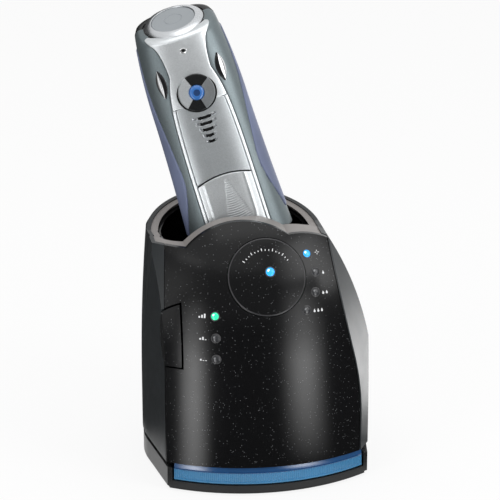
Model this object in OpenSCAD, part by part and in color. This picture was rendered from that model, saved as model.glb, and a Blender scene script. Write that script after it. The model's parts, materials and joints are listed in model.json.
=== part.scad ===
// Shaver cleaning station with the shaver docked head down in its cradle.
// Millimetres, Z up. X runs to the viewer's right, Y runs from the front to the rear.
// The origin is the middle of the footprint, on the table.

/* [Station body] */
// Radius of the rear barrel of the housing
barrel_r = 65.3; // [64:0.1:68]
// Radius of the bowed front of the housing, seen from above
front_r = 108; // [104:1:114]
// How far the foremost point of the front lies before the middle of the footprint
front_reach = 65; // [64:0.5:66]
// Lowest edge of the housing above the table
housing_z = 17.8; // [17.6:0.1:19]
// Height of the rim at the sides
rim_z = 140.5; // [139:0.5:142]
// Rise of the rim towards the rear, per millimetre of depth
rim_rise = 0.21; // [0.15:0.01:0.25]
// Height at which the front starts to roll back
roll_z = 78; // [74:1:82]
// Radius of the front where it rolls back under the start button
roll_r = 111; // [106:1:118]
// Height at which the right side starts to curve in
shoulder_z = 40; // [36:1:44]
// Radius of the curve of the right side
shoulder_r = 197; // [190:1:210]
// Angle at which both sides flare towards the rear, seen from above
flare = 9; // [7:0.5:11]
// Wall of the rear shell
wall = 2.2; // [1.8:0.1:2.6]
// Wall of the front panel
panel_t = 2.2; // [1.8:0.1:2.6]
// Angle of the chamfer between the front panel and the right side
chamfer_angle = 31; // [28:1:34]
// Distance of that chamfer from the middle of the footprint
chamfer_reach = 72; // [71:0.1:73]
// Joint line between the front panel and the shell
seam = 0.3; // [0.2:0.05:0.4]

/* [Crest and mouth] */
// Radius of both arcs of the crest of the front panel
crest_r = 45; // [42:0.5:48]
// Sideways place of the main arc of the crest
crest_x = -11.5; // [-14:0.5:-9]
// Top of the main arc of the crest
crest_z = 154.3; // [152:0.1:156]
// Sideways place of the lower arc of the crest
crest_low_x = 16; // [14:0.5:18]
// Top of the lower arc of the crest
crest_low_z = 147.3; // [146:0.1:149]
// Front edge of the mouth, measured from the middle of the footprint
mouth_front = -21; // [-23:0.5:-20]
// Width of the rim between the outer wall and the mouth
rim_w = 6; // [5:0.1:7]
// Thickness of the bezel around the mouth
bezel_t = 2.4; // [2:0.1:3]
// Fall of the bezel behind the crest, per millimetre towards the mouth
bezel_fall = 0.06; // [0:0.02:0.12]
// Height of the floor of the wide upper part of the cradle
cradle_floor_z = 112; // [110:0.5:114]
// Wall of the cradle
cradle_t = 2; // [1.6:0.1:2.4]

/* [Base and cartridge] */
// Height of the rubber feet under the base
foot_h = 1; // [0.8:0.1:1.4]
// Thickness of the floor of the base
base_floor = 3; // [2.5:0.1:3.5]
// Top of the side walls of the base
base_side_z = 14.5; // [13:0.5:15]
// Top of the front lip of the base
lip_z = 6.6; // [6:0.1:7]
// Width of the cartridge tub
tub_w = 100; // [96:1:101]
// Length of the cartridge tub
tub_l = 100; // [96:1:102]
// Top of the cartridge tub
tub_top = 40; // [38:0.5:41]
// Wall of the cartridge tub
tub_wall = 1.6; // [1.4:0.1:2]
// Gap between the tub and the inside of the front panel
tub_gap = 5.5; // [5:0.5:7]
// Radius of the tub's corners
tub_corner = 14; // [12:0.5:16]
// Width of the ribbed grip at the front of the cartridge
grip_w = 109; // [106:0.5:110]
// Number of ribs on the grip of the cartridge
grip_ribs = 45; // [35:2:55]
// Diameter of the guide posts of the lift
post_d = 5; // [4.5:0.1:5.5]
// Travel of the housing when it is unlocked
lift_travel = 18; // [15:0.5:20]

/* [Controls] */
// Diameter of the start button
start_d = 43.6; // [42:0.2:45]
// Sideways place of the start button
start_x = -1.8; // [-3:0.1:0]
// Height of the start button
start_z = 128; // [126:0.5:130]
// Travel of the start button
start_travel = 1.2; // [0.8:0.1:1.5]
// Diameter of the light lenses
lens_d = 4.2; // [3.8:0.1:4.8]
// Sideways place of the row of level lights
level_x = -31.6; // [-33:0.1:-30]
// Height of the lowest level light
level_z = 83.7; // [82:0.1:86]
// Pitch of the level lights
level_pitch = 12; // [11:0.1:13]
// Radius of the arc of programme lights
prog_r = 25.3; // [25:0.1:26]
// Angle of the highest programme light
prog_angle = 34.5; // [32:0.5:37]
// Step between two programme lights
prog_step = 25.9; // [24:0.1:27]
// Middle height of the lift button
lift_z = 95; // [93:0.5:97]
// Height of the lift button
lift_h = 36; // [33:0.5:38]
// Right edge of the lift button
lift_x = -50; // [-51:0.2:-49]
// Gap around the lift button
lift_gap = 1.1; // [1:0.1:1.3]

/* [Shaver] */
// Length of the shaver's body
body_l = 128; // [126:1:130]
// Width of the body at the head
body_w_head = 60; // [58:0.5:61]
// Width of the body at its waist
body_w_waist = 54; // [52:0.5:56]
// Width of the body at its free end
body_w_end = 50; // [48:0.5:52]
// Depth of the body
body_d = 36; // [34:0.5:38]
// Lean of the shaver to the left
lean_left = 16.1; // [15:0.1:17]
// Lean of the shaver to the rear
lean_back = 9.7; // [9:0.1:10.5]
// Turn of the shaver about its own length
turn = -3; // [-5:0.5:-1]
// Diameter of the control ring on the shaver
control_d = 20.8; // [20:0.2:21.6]
// Clearance between the shaver and the pocket of the cradle
pocket_gap = 3; // [2.5:0.1:3.5]

/* [Hidden] */
$fn = 96;
fine = 360;             // facets of the large arcs, which are drawn closely
big = 400;              // larger than anything in the model
run_gap = 0.05;         // running clearance of a guide in its bore
play = 0.3;             // clearance between pieces that don't fit each other
top_z = 175;            // above every edge of the housing
front_cy = front_r - front_reach;            // centre of the bowed front
rear_cx = -12;          // axis about which the right side turns at the rear
barrel_curve = 1100;    // slow inward curve of the left side and the rear
barrel_curve_z = 50;
chamfer_curve = 250;    // curve of the chamfer upwards
left_panel_u = -49.5;   // left edge of the front panel, across the turned plane
panel_turn = 10;        // turn of that plane about the vertical
base_top_in = 0.5;      // base set in from the housing
base_low_in = 2;        // base set in at its foot
base_low_z = 3;
flank_set = 0.05;       // the straight flanks leave the barrel this far inside its tangent
tub_z = foot_h + base_floor + play;
tub_front = front_reach - 7;         // front of the tub, from the middle
tub_y1 = tub_l - tub_front;
cover_t = 2.6;
cover_top = tub_top + cover_t;
path_w = grip_w / 2 + 1;                     // half width kept free for the cartridge
deck_z = cover_top + 4.2;                    // underside of the chassis
deck_t = 3;
deck_top = deck_z + deck_t;
post_x = barrel_r - 6;
post_top = deck_top + 12;
sleeve_r = 3.5;
sleeve_z = 24;
start_tilt = asin((start_z - roll_z) / roll_r);
prog_cx = 1;
prog_cz = 124.5;
mouth_round_l = 16;     // rounding of the front corners of the mouth
mouth_round_r = 8;
crest_reach = front_r - (roll_r - sqrt(pow(roll_r, 2) - pow(crest_z - roll_z, 2)));
start_gap = 0.4;
start_plate = 2.6;      // thickness of the start button
lift_side_y = 25.5 - front_reach;    // rearmost point of the lift button
lift_side_r = 24;       // curve of its rear edge
boss_r = 3.3;
boss_h = 12;
screw_d = 2.9;
screw_head_h = 1.8;
boss_side = [barrel_r - 8.3, -25];
boss_rear = (barrel_r - 5) * [cos(46), sin(46)];
boss_places = [for (p = [boss_side, boss_rear], s = [-1, 1]) [s * p[0], p[1]]];
pillar_places = [[-46, 8], [-32, 42], [26, 34], [43, -12]];
pipe_d = 7;             // suction and drain pipes
pump_place = [-24, 26];
drain_place = [5.2, -8];
pipe_places = [pump_place, drain_place];
spout_d = 9;            // spout under the pocket of the cradle
lip_t = 2;              // thickness of the front lip of the base
end_post_y = 21 - front_reach;       // the end posts beside the grip reach back to here
collar_top = 7;
foot_d = 12;
foot_seat = 0.8;        // depth of the feet in the base
foot_places = [[-44, -40], [44, -40], [-40, 38], [40, 38]];
strike_top = 26;
stem_x = -56.4;         // stem of the lift button, clear of the cartridge's way
stem_y = 21.5 - front_reach;
stem_w = 2.2;
hook_z = 21;
lift_plate = 2.4;
pump_r = 12.5;
pump_h = 14;
motor_r = 11;
motor_h = 24;
shaft_d = 3;
feed_d = 6;
nozzle_z = cover_top + play + 2;
drain_top = 93.8;
board_depth = 10;
switch_h = 3.4;
level_board_z = 94.5;
start_light = [1.8, 2.6];
start_light_d = 4.8;
inlet_y0 = barrel_r - 15.3;
inlet_y1 = barrel_r - 0.9;
inlet_deep = 10;
start_pegs = [[-23, 13], [-23, -13], [27, 4.8], [27, -6]];
level_pegs = [[0, -5], [0, 7]];
grip_ledge = 7.2;       // height of the smooth ledge above the foot of the grip
inlet_x = 0;
inlet_z = 66;
inlet_w = 16;
inlet_h = 9;
dock = [-7.9, 0, 138];  // point on the shaver's axis that its own frame starts from
head_end = -34;         // lowest point of the head along the axis
pocket_end = head_end - pocket_gap - cradle_t;
neck = -4;              // where the body ends and the head begins
body_end = neck + body_l;

waist_l = 75;           // waist of the shaver's body
squareness = 2.7;       // exponent of its cross-section
slant = 0.42;           // slope of its free end
slant_from = 70;
back_y = 4;             // front edge of the black back shell
skin = 2;               // thickness of the shaver's panels
face_waist = 97;
face_w = 22;            // width of the silver face at its waist
grip_l0 = 6;
grip_l1 = 104;
grip_y0 = -8;
grip_y1 = 8;
grip_in = 2.5;
control_l = 85;
power_d = 8.4;
slider_l1 = 76;
trimmer_l1 = 32;
slot_l = 71;
key_l = 96;
key_x = 19;
key_gap = 0.5;          // room under a key, more than its travel
key_top = 1.25;
end_r = 17;
end_deep = 3;
head_w = 56;
frame_up = 12;          // lower edge of the head frame above the foils' lowest point
seat_w = 24;            // width of the ribs that the head frame stands on
seat_reach = 2;
head_d = 30;
foil_r = 5;
foil_pitch = 6.2;

function drop(h, r) = h > 0 ? r - sqrt(r * r - h * h) : 0;
function side_x(z) = barrel_r - drop(z - shoulder_z, shoulder_r);
function front_radius(z) = front_r - drop(z - roll_z, roll_r);
function prog_a(i) = prog_angle - i * prog_step;
function prog_x(i) = prog_cx + prog_r * cos(prog_a(i));
function prog_z(i) = prog_cz + prog_r * sin(prog_a(i)) * cos(start_tilt);

// ---- forms that several pieces share ----

// Upright profile that starts at radius r, stands straight up to z0 and then curves in
module side_profile(r, z0, curve) {
    square([r, z0 + 0.01]);
    intersection() {
        translate([r - curve, z0]) circle(curve, $fn = fine);
        translate([0, z0]) square([r, big]);
    }
}

// Corners of the plan beside the barrel: two flat flanks that meet the bowed front
module flank_plan(in) {
    r = barrel_r - in;
    foot = [r * cos(flare), -r * sin(flare)];
    far = front_reach + 10;
    run = [-far * sin(flare), -far * cos(flare)];
    polygon([foot, foot + run, [-foot[0] - run[0], foot[1] + run[1]], [-foot[0], foot[1]], [0, 0]]);
}

// Side cut that takes the right of the housing in as it rises
module right_side(in) {
    r = barrel_r - in;
    rotate([90, 0, 0]) linear_extrude(big) {
        side_profile(r, shoulder_z, shoulder_r - in);
        translate([-big, 0]) square([big + 1, big]);
    }
    translate([rear_cx, 0, 0])
        rotate_extrude($fn = fine) intersection() {
            translate([-rear_cx, 0]) union() {
                side_profile(r, shoulder_z, shoulder_r - in);
                translate([rear_cx, 0]) square([-rear_cx + 1, top_z]);
            }
            square([big, top_z]);
        }
}

// Chamfer at the right front corner
module right_chamfer(in) {
    rotate([0, 0, -chamfer_angle]) rotate([90, 0, 0]) linear_extrude(big, center = true) {
        side_profile(chamfer_reach - in, shoulder_z, chamfer_curve - in);
        translate([-big, 0]) square([big + 1, big]);
    }
}

// Everything behind the bowed front, which rolls back at its top
module behind_front(in) {
    translate([0, front_cy, 0]) rotate_extrude($fn = fine)
        intersection() {
            side_profile(front_r - in, roll_z, roll_r - in);
            square([big, top_z]);
        }
}

// Barrel with its flanks, before the front, the right side and the rim are cut
module barrel(in) {
    rotate_extrude($fn = 180) intersection() {
        side_profile(barrel_r - in, barrel_curve_z, barrel_curve - in);
        square([big, top_z]);
    }
    intersection() {
        linear_extrude(top_z) flank_plan(in);
        translate([0, -big / 2 + 1, 0]) rotate([90, 0, 0])
            linear_extrude(big, center = true) {
                side_profile(barrel_r - in, barrel_curve_z, barrel_curve - in);
                mirror([1, 0]) side_profile(barrel_r - in, barrel_curve_z, barrel_curve - in);
            }
    }
}

// Outer form of the housing, set in by the given distance
module housing_form(in) {
    intersection() {
        barrel(in);
        behind_front(in);
        right_side(in);
        right_chamfer(in);
    }
}

// Room under the crest and the rim, lowered by the given distance
module under_rim(down) {
    translate([0, 0, -down]) {
        rotate([90, 0, 90]) linear_extrude(big, center = true)
            polygon([[-big, -50], [big, -50], [big, rim_z + rim_rise * big], [0, rim_z], [-big, rim_z]]);
        intersection() {
            rotate([90, 0, 0]) linear_extrude(big) {
                translate([crest_x, crest_z - crest_r]) circle(crest_r, $fn = 180);
                translate([crest_low_x, crest_low_z - crest_r]) circle(crest_r, $fn = 180);
            }
            translate([-big, -big, 0]) cube([2 * big, big + mouth_front + 1, top_z]);
        }
    }
}

// Opening of the mouth, seen from above, with rounded front corners
module mouth_room(in, z0) {
    y = mouth_front + in - rim_w;
    x_left = -barrel_r + in + mouth_round_l + 2;
    x_right = side_x(rim_z) - in - mouth_round_r;
    intersection() {
        housing_form(in);
        translate([0, 0, z0]) linear_extrude(top_z) {
            translate([-big, y + mouth_round_l]) square([big + x_right, big]);
            translate([x_left, y + mouth_round_r]) square([big, big]);
            translate([x_left, y]) square([x_right - x_left, big]);
            translate([x_left, y + mouth_round_l]) circle(mouth_round_l);
            translate([x_right, y + mouth_round_r]) circle(mouth_round_r);
        }
    }
}

// Places its children on the bowed front, with their own Z pointing straight out of it
module on_front(x, z) {
    r = front_radius(z);
    tilt = z > roll_z ? asin((z - roll_z) / roll_r) : 0;
    translate([0, front_cy, 0]) rotate([0, 0, asin(x / r)])
        translate([0, -r, z]) rotate([90 - tilt, 0, 0]) children();
}

// The shaver's own frame: Z runs along it from the head to its free end, and its face looks along -Y
module shaver_frame() {
    translate(dock) rotate([-lean_back, -lean_left, 0]) rotate([0, 0, turn]) children();
}

// Plan of the base and of the foot of the housing
module plan(in) {
    intersection() {
        union() {
            circle(barrel_r - in, $fn = 180);
            flank_plan(in + flank_set);
        }
        translate([0, front_cy]) circle(front_r - in, $fn = fine);
    }
}

// Rectangle with round corners, its middle at the origin
module round_rect(w, l, r) {
    square([w - 2 * r, l], center = true);
    square([w, l - 2 * r], center = true);
    for (x = [-1, 1], y = [-1, 1])
        translate([x * (w / 2 - r), y * (l / 2 - r)]) circle(r, $fn = 48);
}

// Space of the front panel between its left edge and the right chamfer
module panel_zone(grow) {
    intersection() {
        rotate([0, 0, -panel_turn]) translate([left_panel_u - grow, -big, 0]) cube([2 * big, 2 * big, top_z]);
        right_side(0.8 - grow);
        right_chamfer(0.8 - grow);
        translate([-big, -big, 0]) cube([2 * big, big + mouth_front, top_z]);
    }
}

// Opening around the lift button, which wraps the left front corner
module lift_zone(grow) {
    intersection() {
        translate([-big, -big, lift_z - lift_h / 2 - grow]) cube([big + lift_x + grow, big, lift_h + 2 * grow]);
        translate([0, lift_side_y - lift_side_r, lift_z]) rotate([0, -90, 0]) cylinder(h = big, r = lift_side_r + grow);
    }
}

// Bore through the front for a light lens
module lens_bores(extra) {
    for (i = [0:2]) on_front(level_x, level_z + i * level_pitch)
        translate([0, 0, -20]) cylinder(h = 40, d = lens_d + extra);
    for (i = [0:3]) on_front(prog_x(i), prog_z(i))
        translate([0, 0, -14]) cylinder(h = 30, d = lens_d + extra);
}

// Surface of the front between two depths below it
module front_skin(depth0, depth1) {
    difference() {
        behind_front(depth0);
        behind_front(depth1);
    }
}

// ---- housing ----

module front_panel() {
    color("#101214") difference() {
        union() {
            intersection() {
                front_skin(0, panel_t);
                barrel(0);
                panel_zone(0);
                under_rim(0);
                translate([-big, -big, housing_z]) cube(2 * big);
            }
            intersection() {
                union() {
                    on_front(start_x, start_z) board_pegs(start_pegs, board_depth);
                    on_front(level_x, level_board_z) board_pegs(level_pegs, board_depth);
                }
                behind_front(panel_t / 2);
            }
        }
        on_front(start_x, start_z) translate([0, 0, -20]) cylinder(h = 40, d = start_d + 2 * start_gap);
        lens_bores(0.2);
        lift_zone(lift_gap);
    }
}

module rear_shell() {
    color("#2c3033") {
        difference() {
            intersection() {
                housing_form(0);
                under_rim(0);
                translate([-big, -big, housing_z]) cube(2 * big);
            }
            housing_form(wall);
            difference() {
                panel_zone(seam);
                behind_front(wall + 2);
            }
            lift_zone(lift_gap);
            // arch that the cartridge leaves through
            translate([-tub_w / 2 - 1.5, 0, 0]) cube([tub_w + 3, big, cover_top + 2]);
            // recess of the power inlet
            translate([inlet_x, 0, inlet_z]) rotate([-90, 0, 0])
                linear_extrude(big) round_rect(inlet_w, inlet_h, 2);
        }
        screw_bosses();
    }
}

// Bosses in the corners of the shell that the chassis is screwed to
module screw_bosses() {
    intersection() {
        housing_form(wall / 2);
        difference() {
            for (p = boss_places)
                translate([p[0], p[1], deck_top + 0.2]) cylinder(h = boss_h, r = boss_r);
            for (p = boss_places)
                translate([p[0], p[1], deck_top - 1]) cylinder(h = boss_h, d = screw_d + 0.1);
        }
    }
}

// Top of the bezel, lowered by the given distance
module bezel_top(down) {
    intersection() {
        under_rim(0.6 + down);
        union() {
            translate([-big, mouth_front, 0]) cube([2 * big, big, top_z]);
            translate([0, front_cy, crest_z - 0.8 - down]) rotate_extrude($fn = fine)
                polygon([[0, -big], [front_r, -big], [front_r, bezel_fall * (front_r - crest_reach)],
                         [0, -bezel_fall * crest_reach]]);
        }
    }
}

module mouth_bezel() {
    color("#8f8784") difference() {
        intersection() {
            housing_form(wall + 0.2);
            bezel_top(0);
            translate([-big, -big, deck_top]) cube(2 * big);
        }
        bezel_top(bezel_t);
        mouth_room(rim_w, 0);
    }
}

// Room in the cradle: a wide upper part and an oblique pocket for the shaver's head
module cradle_room(grow) {
    mouth_room(rim_w + cradle_t + 0.5 - grow, cradle_floor_z - grow);
    intersection() {
        shaver_frame() translate([0, 0, head_end - pocket_gap - grow])
            linear_extrude(60) round_rect(body_w_head + 2 * (pocket_gap + grow),
                                          body_d + 2 * (pocket_gap + grow), 14);
        translate([-big, -big, 0]) cube([2 * big, 2 * big, top_z]);
    }
}

// Shell of the cradle, from its spout up to the bezel
module cradle_shell() {
    difference() {
        intersection() {
            union() {
                cradle_room(cradle_t);
                shaver_frame() translate([0, 0, pocket_end - 6]) cylinder(h = 7, d = spout_d);
            }
            bezel_top(bezel_t + play);
        }
        cradle_room(0);
        shaver_frame() translate([0, 0, head_end - 20]) cylinder(h = 30, d = spout_d - 3);
    }
}

// Bowl up to the floor of the cradle, with the pocket that the shaver's head hangs in
module cradle_bowl() {
    color("#0c0d0e") {
        intersection() {
            cradle_shell();
            translate([-big, -big, cradle_floor_z - big]) cube([2 * big, 2 * big, big]);
        }
        difference() {
            head_seats();
            cradle_funnel();
        }
    }
}

// Wall that stands on the bowl and leads the shaver in
module cradle_funnel() {
    color("#0c0d0e") intersection() {
        cradle_shell();
        translate([-big, -big, cradle_floor_z]) cube(2 * big);
    }
}

// Ribs in the pocket that the frame of the shaver's head stands on
module head_seats() {
    y0 = head_d / 2 - seat_reach;
    y1 = body_d / 2 + pocket_gap + cradle_t / 2;
    z0 = head_end - pocket_gap - cradle_t / 2;
    shaver_frame() for (s = [0, 1]) mirror([0, s, 0])
        translate([-seat_w / 2, y0, z0]) cube([seat_w, y1 - y0, head_end + frame_up - play - z0]);
}

module chassis() {
    color("#3a3d40") difference() {
        union() {
            intersection() {
                housing_form(wall + play);
                translate([-big, -big, deck_z]) cube([2 * big, 2 * big, deck_t]);
            }
            for (x = [-post_x, post_x])
                translate([x, 0, sleeve_z]) cylinder(h = deck_top - sleeve_z, r = sleeve_r);
            // seats of the cradle
            for (p = pillar_places)
                translate([p[0], p[1], deck_top - 1]) cylinder(h = cradle_floor_z - cradle_t - deck_top + 0.7, d = 8);
        }
        for (x = [-post_x, post_x])
            translate([x, 0, 0]) cylinder(h = big, d = post_d + 2 * run_gap);
        for (p = boss_places)
            translate([p[0], p[1], 0]) cylinder(h = big, d = screw_d + 0.2);
        for (p = pipe_places)
            translate([p[0], p[1], 0]) cylinder(h = big, d = pipe_d + 0.2);
        // notch for the stem of the lift button
        translate([stem_x - 2, stem_y - 2, 0]) cube([stem_w + 4, 14, big]);
    }
}

module housing_screws() {
    color("silver") for (p = boss_places)
        translate([p[0], p[1], deck_z - screw_head_h - 0.05]) {
            cylinder(h = deck_t + screw_head_h + boss_h - 3, d = screw_d - 0.1);
            cylinder(h = screw_head_h, d = screw_d * 1.9);
        }
}

// ---- base ----

module base_tray() {
    color("#17191b") difference() {
        union() {
            translate([0, 0, foot_h]) linear_extrude(base_low_z - foot_h) plan(base_low_in);
            translate([0, 0, base_low_z]) linear_extrude(foot_h + base_floor - base_low_z) plan(base_top_in);
            // front lip
            translate([0, 0, foot_h + base_floor]) linear_extrude(lip_z - foot_h - base_floor) intersection() {
                difference() {
                    plan(base_top_in);
                    plan(base_top_in + lip_t);
                }
                translate([-big, -big]) square([2 * big, big + mouth_front]);
            }
            // side walls and end posts
            translate([0, 0, foot_h + base_floor]) linear_extrude(base_side_z - foot_h - base_floor) difference() {
                plan(base_top_in);
                translate([-path_w, -big]) square([2 * path_w, 2 * big]);
                intersection() {
                    plan(base_top_in + lip_t);
                    translate([-big, end_post_y]) square(2 * big);
                }
            }
            // collars that hold the guide posts
            for (x = [-post_x, post_x])
                translate([x, 0, foot_h + base_floor])
                    cylinder(h = collar_top - foot_h - base_floor, r = post_d / 2 + 1.05);
        }
        for (x = [-post_x, post_x])
            translate([x, 0, foot_h + base_floor]) cylinder(h = big, d = post_d);
        for (p = foot_places)
            translate([p[0], p[1], 0]) cylinder(h = foot_h + foot_seat, d = foot_d);
    }
}

module base_feet() {
    color("#26282a") for (p = foot_places)
        translate([p[0], p[1], 0]) cylinder(h = foot_h + foot_seat, d = foot_d - 0.2);
}

module guide_posts() {
    color("silver") for (x = [-post_x, post_x])
        translate([x, 0, foot_h + base_floor]) {
            cylinder(h = post_top - foot_h - base_floor - 1, d = post_d - 0.02);
            translate([0, 0, post_top - foot_h - base_floor - 1.01])
                cylinder(h = 1, d1 = post_d - 0.02, d2 = post_d - 1.6);
        }
}

// Helical spring of round wire, drawn as one tube swept along its turns
module coil(r, wire, length, turns) {
    sides = 6;
    rings = turns * 12;
    rise = (length - wire) / rings;
    points = [for (i = [0:rings]) for (k = [0:sides - 1])
        let (a = 360 * i / 12, q = r + wire / 2 * cos(360 * k / sides))
        [q * cos(a), q * sin(a), wire / 2 + i * rise + wire / 2 * sin(360 * k / sides)]];
    faces = [
        [for (k = [0:sides - 1]) k],
        for (i = [0:rings - 1]) for (k = [0:sides - 1])
            let (n = (k + 1) % sides) [i * sides + k, (i + 1) * sides + k, (i + 1) * sides + n, i * sides + n],
        [for (k = [sides - 1:-1:0]) rings * sides + k]];
    polyhedron(points, faces, convexity = 10);
}

module lift_springs() {
    color("silver") for (x = [-post_x, post_x])
        translate([x, 0, collar_top + 0.05])
            coil(post_d / 2 + 0.6, 0.8, sleeve_z - collar_top - 0.1, 6);
}

// Catch on the base that the hook of the lift button holds
module latch_strike() {
    color("#3a3d40") {
        translate([stem_x - 0.2, stem_y, foot_h + base_floor])
            cube([1.1, 6, strike_top - foot_h - base_floor]);
        translate([stem_x - 0.2, stem_y, housing_z + 0.6]) cube([4, 6, strike_top - housing_z - 0.6]);
    }
}

// ---- cartridge ----

// Plan of the tub, its bowed front set in behind the front panel
module tub_plan(in) {
    intersection() {
        translate([0, tub_y1 - tub_l / 2]) round_rect(tub_w - 2 * in, tub_l - 2 * in, tub_corner - in / 2);
        translate([0, front_cy]) circle(front_r - panel_t - tub_gap - in, $fn = fine);
    }
}

module cartridge_tub() {
    color("#2f7fae") difference() {
        translate([0, 0, tub_z]) linear_extrude(tub_top - tub_z) tub_plan(0);
        translate([0, 0, tub_z + tub_wall]) linear_extrude(big) tub_plan(tub_wall);
    }
}

// Ribbed grip at the front of the cartridge, which shows under the front panel
module cartridge_grip() {
    r = front_r - base_top_in - 0.6;
    span = asin(grip_w / 2 / r);
    color("#5b9fc7") intersection() {
        translate([-grip_w / 2, -big, 0]) cube([grip_w, big - 30, housing_z - play]);
        translate([0, front_cy, lip_z + play]) {
            difference() {
                union() {
                    cylinder(h = housing_z - lip_z - 2 * play, r = r - 1, $fn = fine);
                    translate([0, 0, grip_ledge]) cylinder(h = big, r = r, $fn = fine);
                    cylinder(h = 1, r = r, $fn = fine);
                }
                translate([0, 0, -1]) cylinder(h = big, r = front_r - panel_t - tub_gap + run_gap, $fn = fine);
            }
            for (i = [0:grip_ribs - 1]) rotate([0, 0, -span + 2 * span * (i + 0.5) / grip_ribs])
                translate([-0.6, -r + 0.2, 0.5]) cube([1.2, 1.2, grip_ledge]);
        }
    }
}

module cartridge_cover() {
    color("#1d5f8d") difference() {
        union() {
            translate([0, 0, tub_top]) linear_extrude(cover_t) tub_plan(0);
            translate([0, 0, tub_top - 2]) linear_extrude(2.01) tub_plan(tub_wall + 0.1);
        }
        translate([0, 0, tub_top - 3]) linear_extrude(3) tub_plan(tub_wall + 1.3);
        for (p = pipe_places)
            translate([p[0], p[1], 0]) cylinder(h = big, d = pipe_d - 1);
    }
}

// Filter block that lies in the tub
module cartridge_filter() {
    color("#d8dcdc") translate([0, 0, tub_z + tub_wall]) difference() {
        linear_extrude(14) tub_plan(tub_wall + 0.3);
        for (x = [-3:3], y = [-2:2])
            translate([x * 13, -8 + y * 15, 3]) cylinder(h = 20, d = 8, $fn = 24);
    }
}

// ---- works inside the housing ----

module pump_housing() {
    color("#54585c") translate([pump_place[0], pump_place[1], deck_top]) difference() {
        union() {
            cylinder(h = pump_h, r = pump_r);
            translate([0, 0, pump_h / 2]) rotate([0, 90, 0]) cylinder(h = pump_r + 2, d = feed_d + 2);
        }
        translate([0, 0, 2]) cylinder(h = pump_h - 4, r = pump_r - 2);
        cylinder(h = big, d = shaft_d + 2 * run_gap);
        translate([0, 0, -1]) cylinder(h = 4, d = pipe_d - 2);
        translate([0, 0, pump_h / 2]) rotate([0, 90, 0]) cylinder(h = big, d = feed_d - 1.5);
    }
}

module impeller() {
    color("#c9cccc") translate([pump_place[0], pump_place[1], deck_top]) {
        translate([0, 0, 2.6]) cylinder(h = 1.4, r = pump_r - 2.8);
        translate([0, 0, 2.6]) cylinder(h = pump_h + 8, d = shaft_d);
        for (i = [0:5]) rotate([0, 0, i * 60])
            translate([1, -0.6, 3.5]) cube([pump_r - 4.2, 1.2, pump_h - 6.4]);
    }
}

module pump_motor() {
    color("#9a9ea2") translate([pump_place[0], pump_place[1], deck_top + pump_h]) difference() {
        union() {
            cylinder(h = motor_h, r = motor_r);
            translate([0, 0, motor_h - 0.01]) cylinder(h = 2.5, r = 3.5);
        }
        translate([0, 0, -1]) cylinder(h = 12, d = shaft_d + 2 * run_gap);
    }
}

// Pipe through the chassis, with a flange under it and its top at the given height
module nozzle_pipe(top) {
    difference() {
        union() {
            translate([0, 0, nozzle_z]) cylinder(h = top - nozzle_z, d = pipe_d);
            translate([0, 0, deck_z - 1.05]) cylinder(h = 1, d = pipe_d + 3);
        }
        cylinder(h = big, d = pipe_d - 2);
    }
}

module suction_pipe() {
    color("#c9cccc") translate([pump_place[0], pump_place[1], 0]) nozzle_pipe(deck_top - 0.05);
}

module drain_pipe() {
    color("#c9cccc") translate([drain_place[0], drain_place[1], 0]) nozzle_pipe(drain_top);
}

// Feed from the pump up to the floor of the cradle
module feed_pipe() {
    x = pump_place[0] + pump_r + 2.1;
    color("#c9cccc") translate([x, pump_place[1], deck_top + pump_h / 2]) difference() {
        union() {
            rotate([0, 90, 0]) cylinder(h = feed_d / 2 + 1, d = feed_d);
            translate([feed_d / 2, 0, -feed_d / 2])
                cylinder(h = cradle_floor_z - cradle_t - play - deck_top - pump_h / 2 + feed_d / 2, d = feed_d);
        }
        translate([-1, 0, 0]) rotate([0, 90, 0]) cylinder(h = feed_d / 2 + 1, d = feed_d - 2);
        translate([feed_d / 2, 0, -1]) cylinder(h = big, d = feed_d - 2);
    }
}

module nozzle_seals() {
    color("#202224") for (p = pipe_places)
        translate([p[0], p[1], cover_top + play]) difference() {
            cylinder(h = nozzle_z - cover_top - play, d = pipe_d + 2.4);
            translate([0, 0, -1]) cylinder(h = big, d = pipe_d - 2);
        }
}

// Flat winding under the pocket that dries the shaver
module heater_ring() {
    color("#b87333") shaver_frame()
        translate([0, 0, pocket_end - play - 2]) difference() {
            cylinder(h = 2, r = 18);
            translate([0, 0, -1]) cylinder(h = 4, r = 9);
        }
}

// Pegs behind the front panel that a board is held on
module board_pegs(places, depth) {
    for (p = places) translate([p[0], p[1], -depth]) cylinder(h = depth + 3, r = 1.6);
}

module start_board() {
    color("#1f6b3a") on_front(start_x, start_z)
        translate([-25, -15, -board_depth - 1.6]) cube([54, 30, 1.6]);
}

module level_board() {
    color("#1f6b3a") on_front(level_x, level_board_z)
        translate([-5.5, -14, -board_depth - 1.6]) cube([11, 28, 1.6]);
}

module start_switch() {
    color("#8d9195") on_front(start_x, start_z) translate([0, 0, -board_depth]) {
        translate([-3, -3, 0]) cube([6, 6, 2.4]);
        cylinder(h = switch_h, r = 1.7);
    }
}

// Light lens seated in its bore
module lens(d) {
    translate([0, 0, -5]) cylinder(h = 4.4, d = d);
    translate([0, 0, -0.6]) intersection() {
        cylinder(h = 1, d = d);
        translate([0, 0, -d]) sphere(r = d + 0.9);
    }
}

module level_light_high() {
    color("#21c26a") on_front(level_x, level_z + 2 * level_pitch) lens(lens_d);
}

module level_light_low() {
    color("#4a4c50") on_front(level_x, level_z + level_pitch) lens(lens_d);
}

module level_light_empty() {
    color("#4a4c50") on_front(level_x, level_z) lens(lens_d);
}

module clean_light() {
    color("#1f8fe0") on_front(prog_x(0), prog_z(0)) lens(lens_d);
}

module program_lights() {
    color("#4a4c50") for (i = [1:3]) on_front(prog_x(i), prog_z(i)) lens(lens_d);
}

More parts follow.
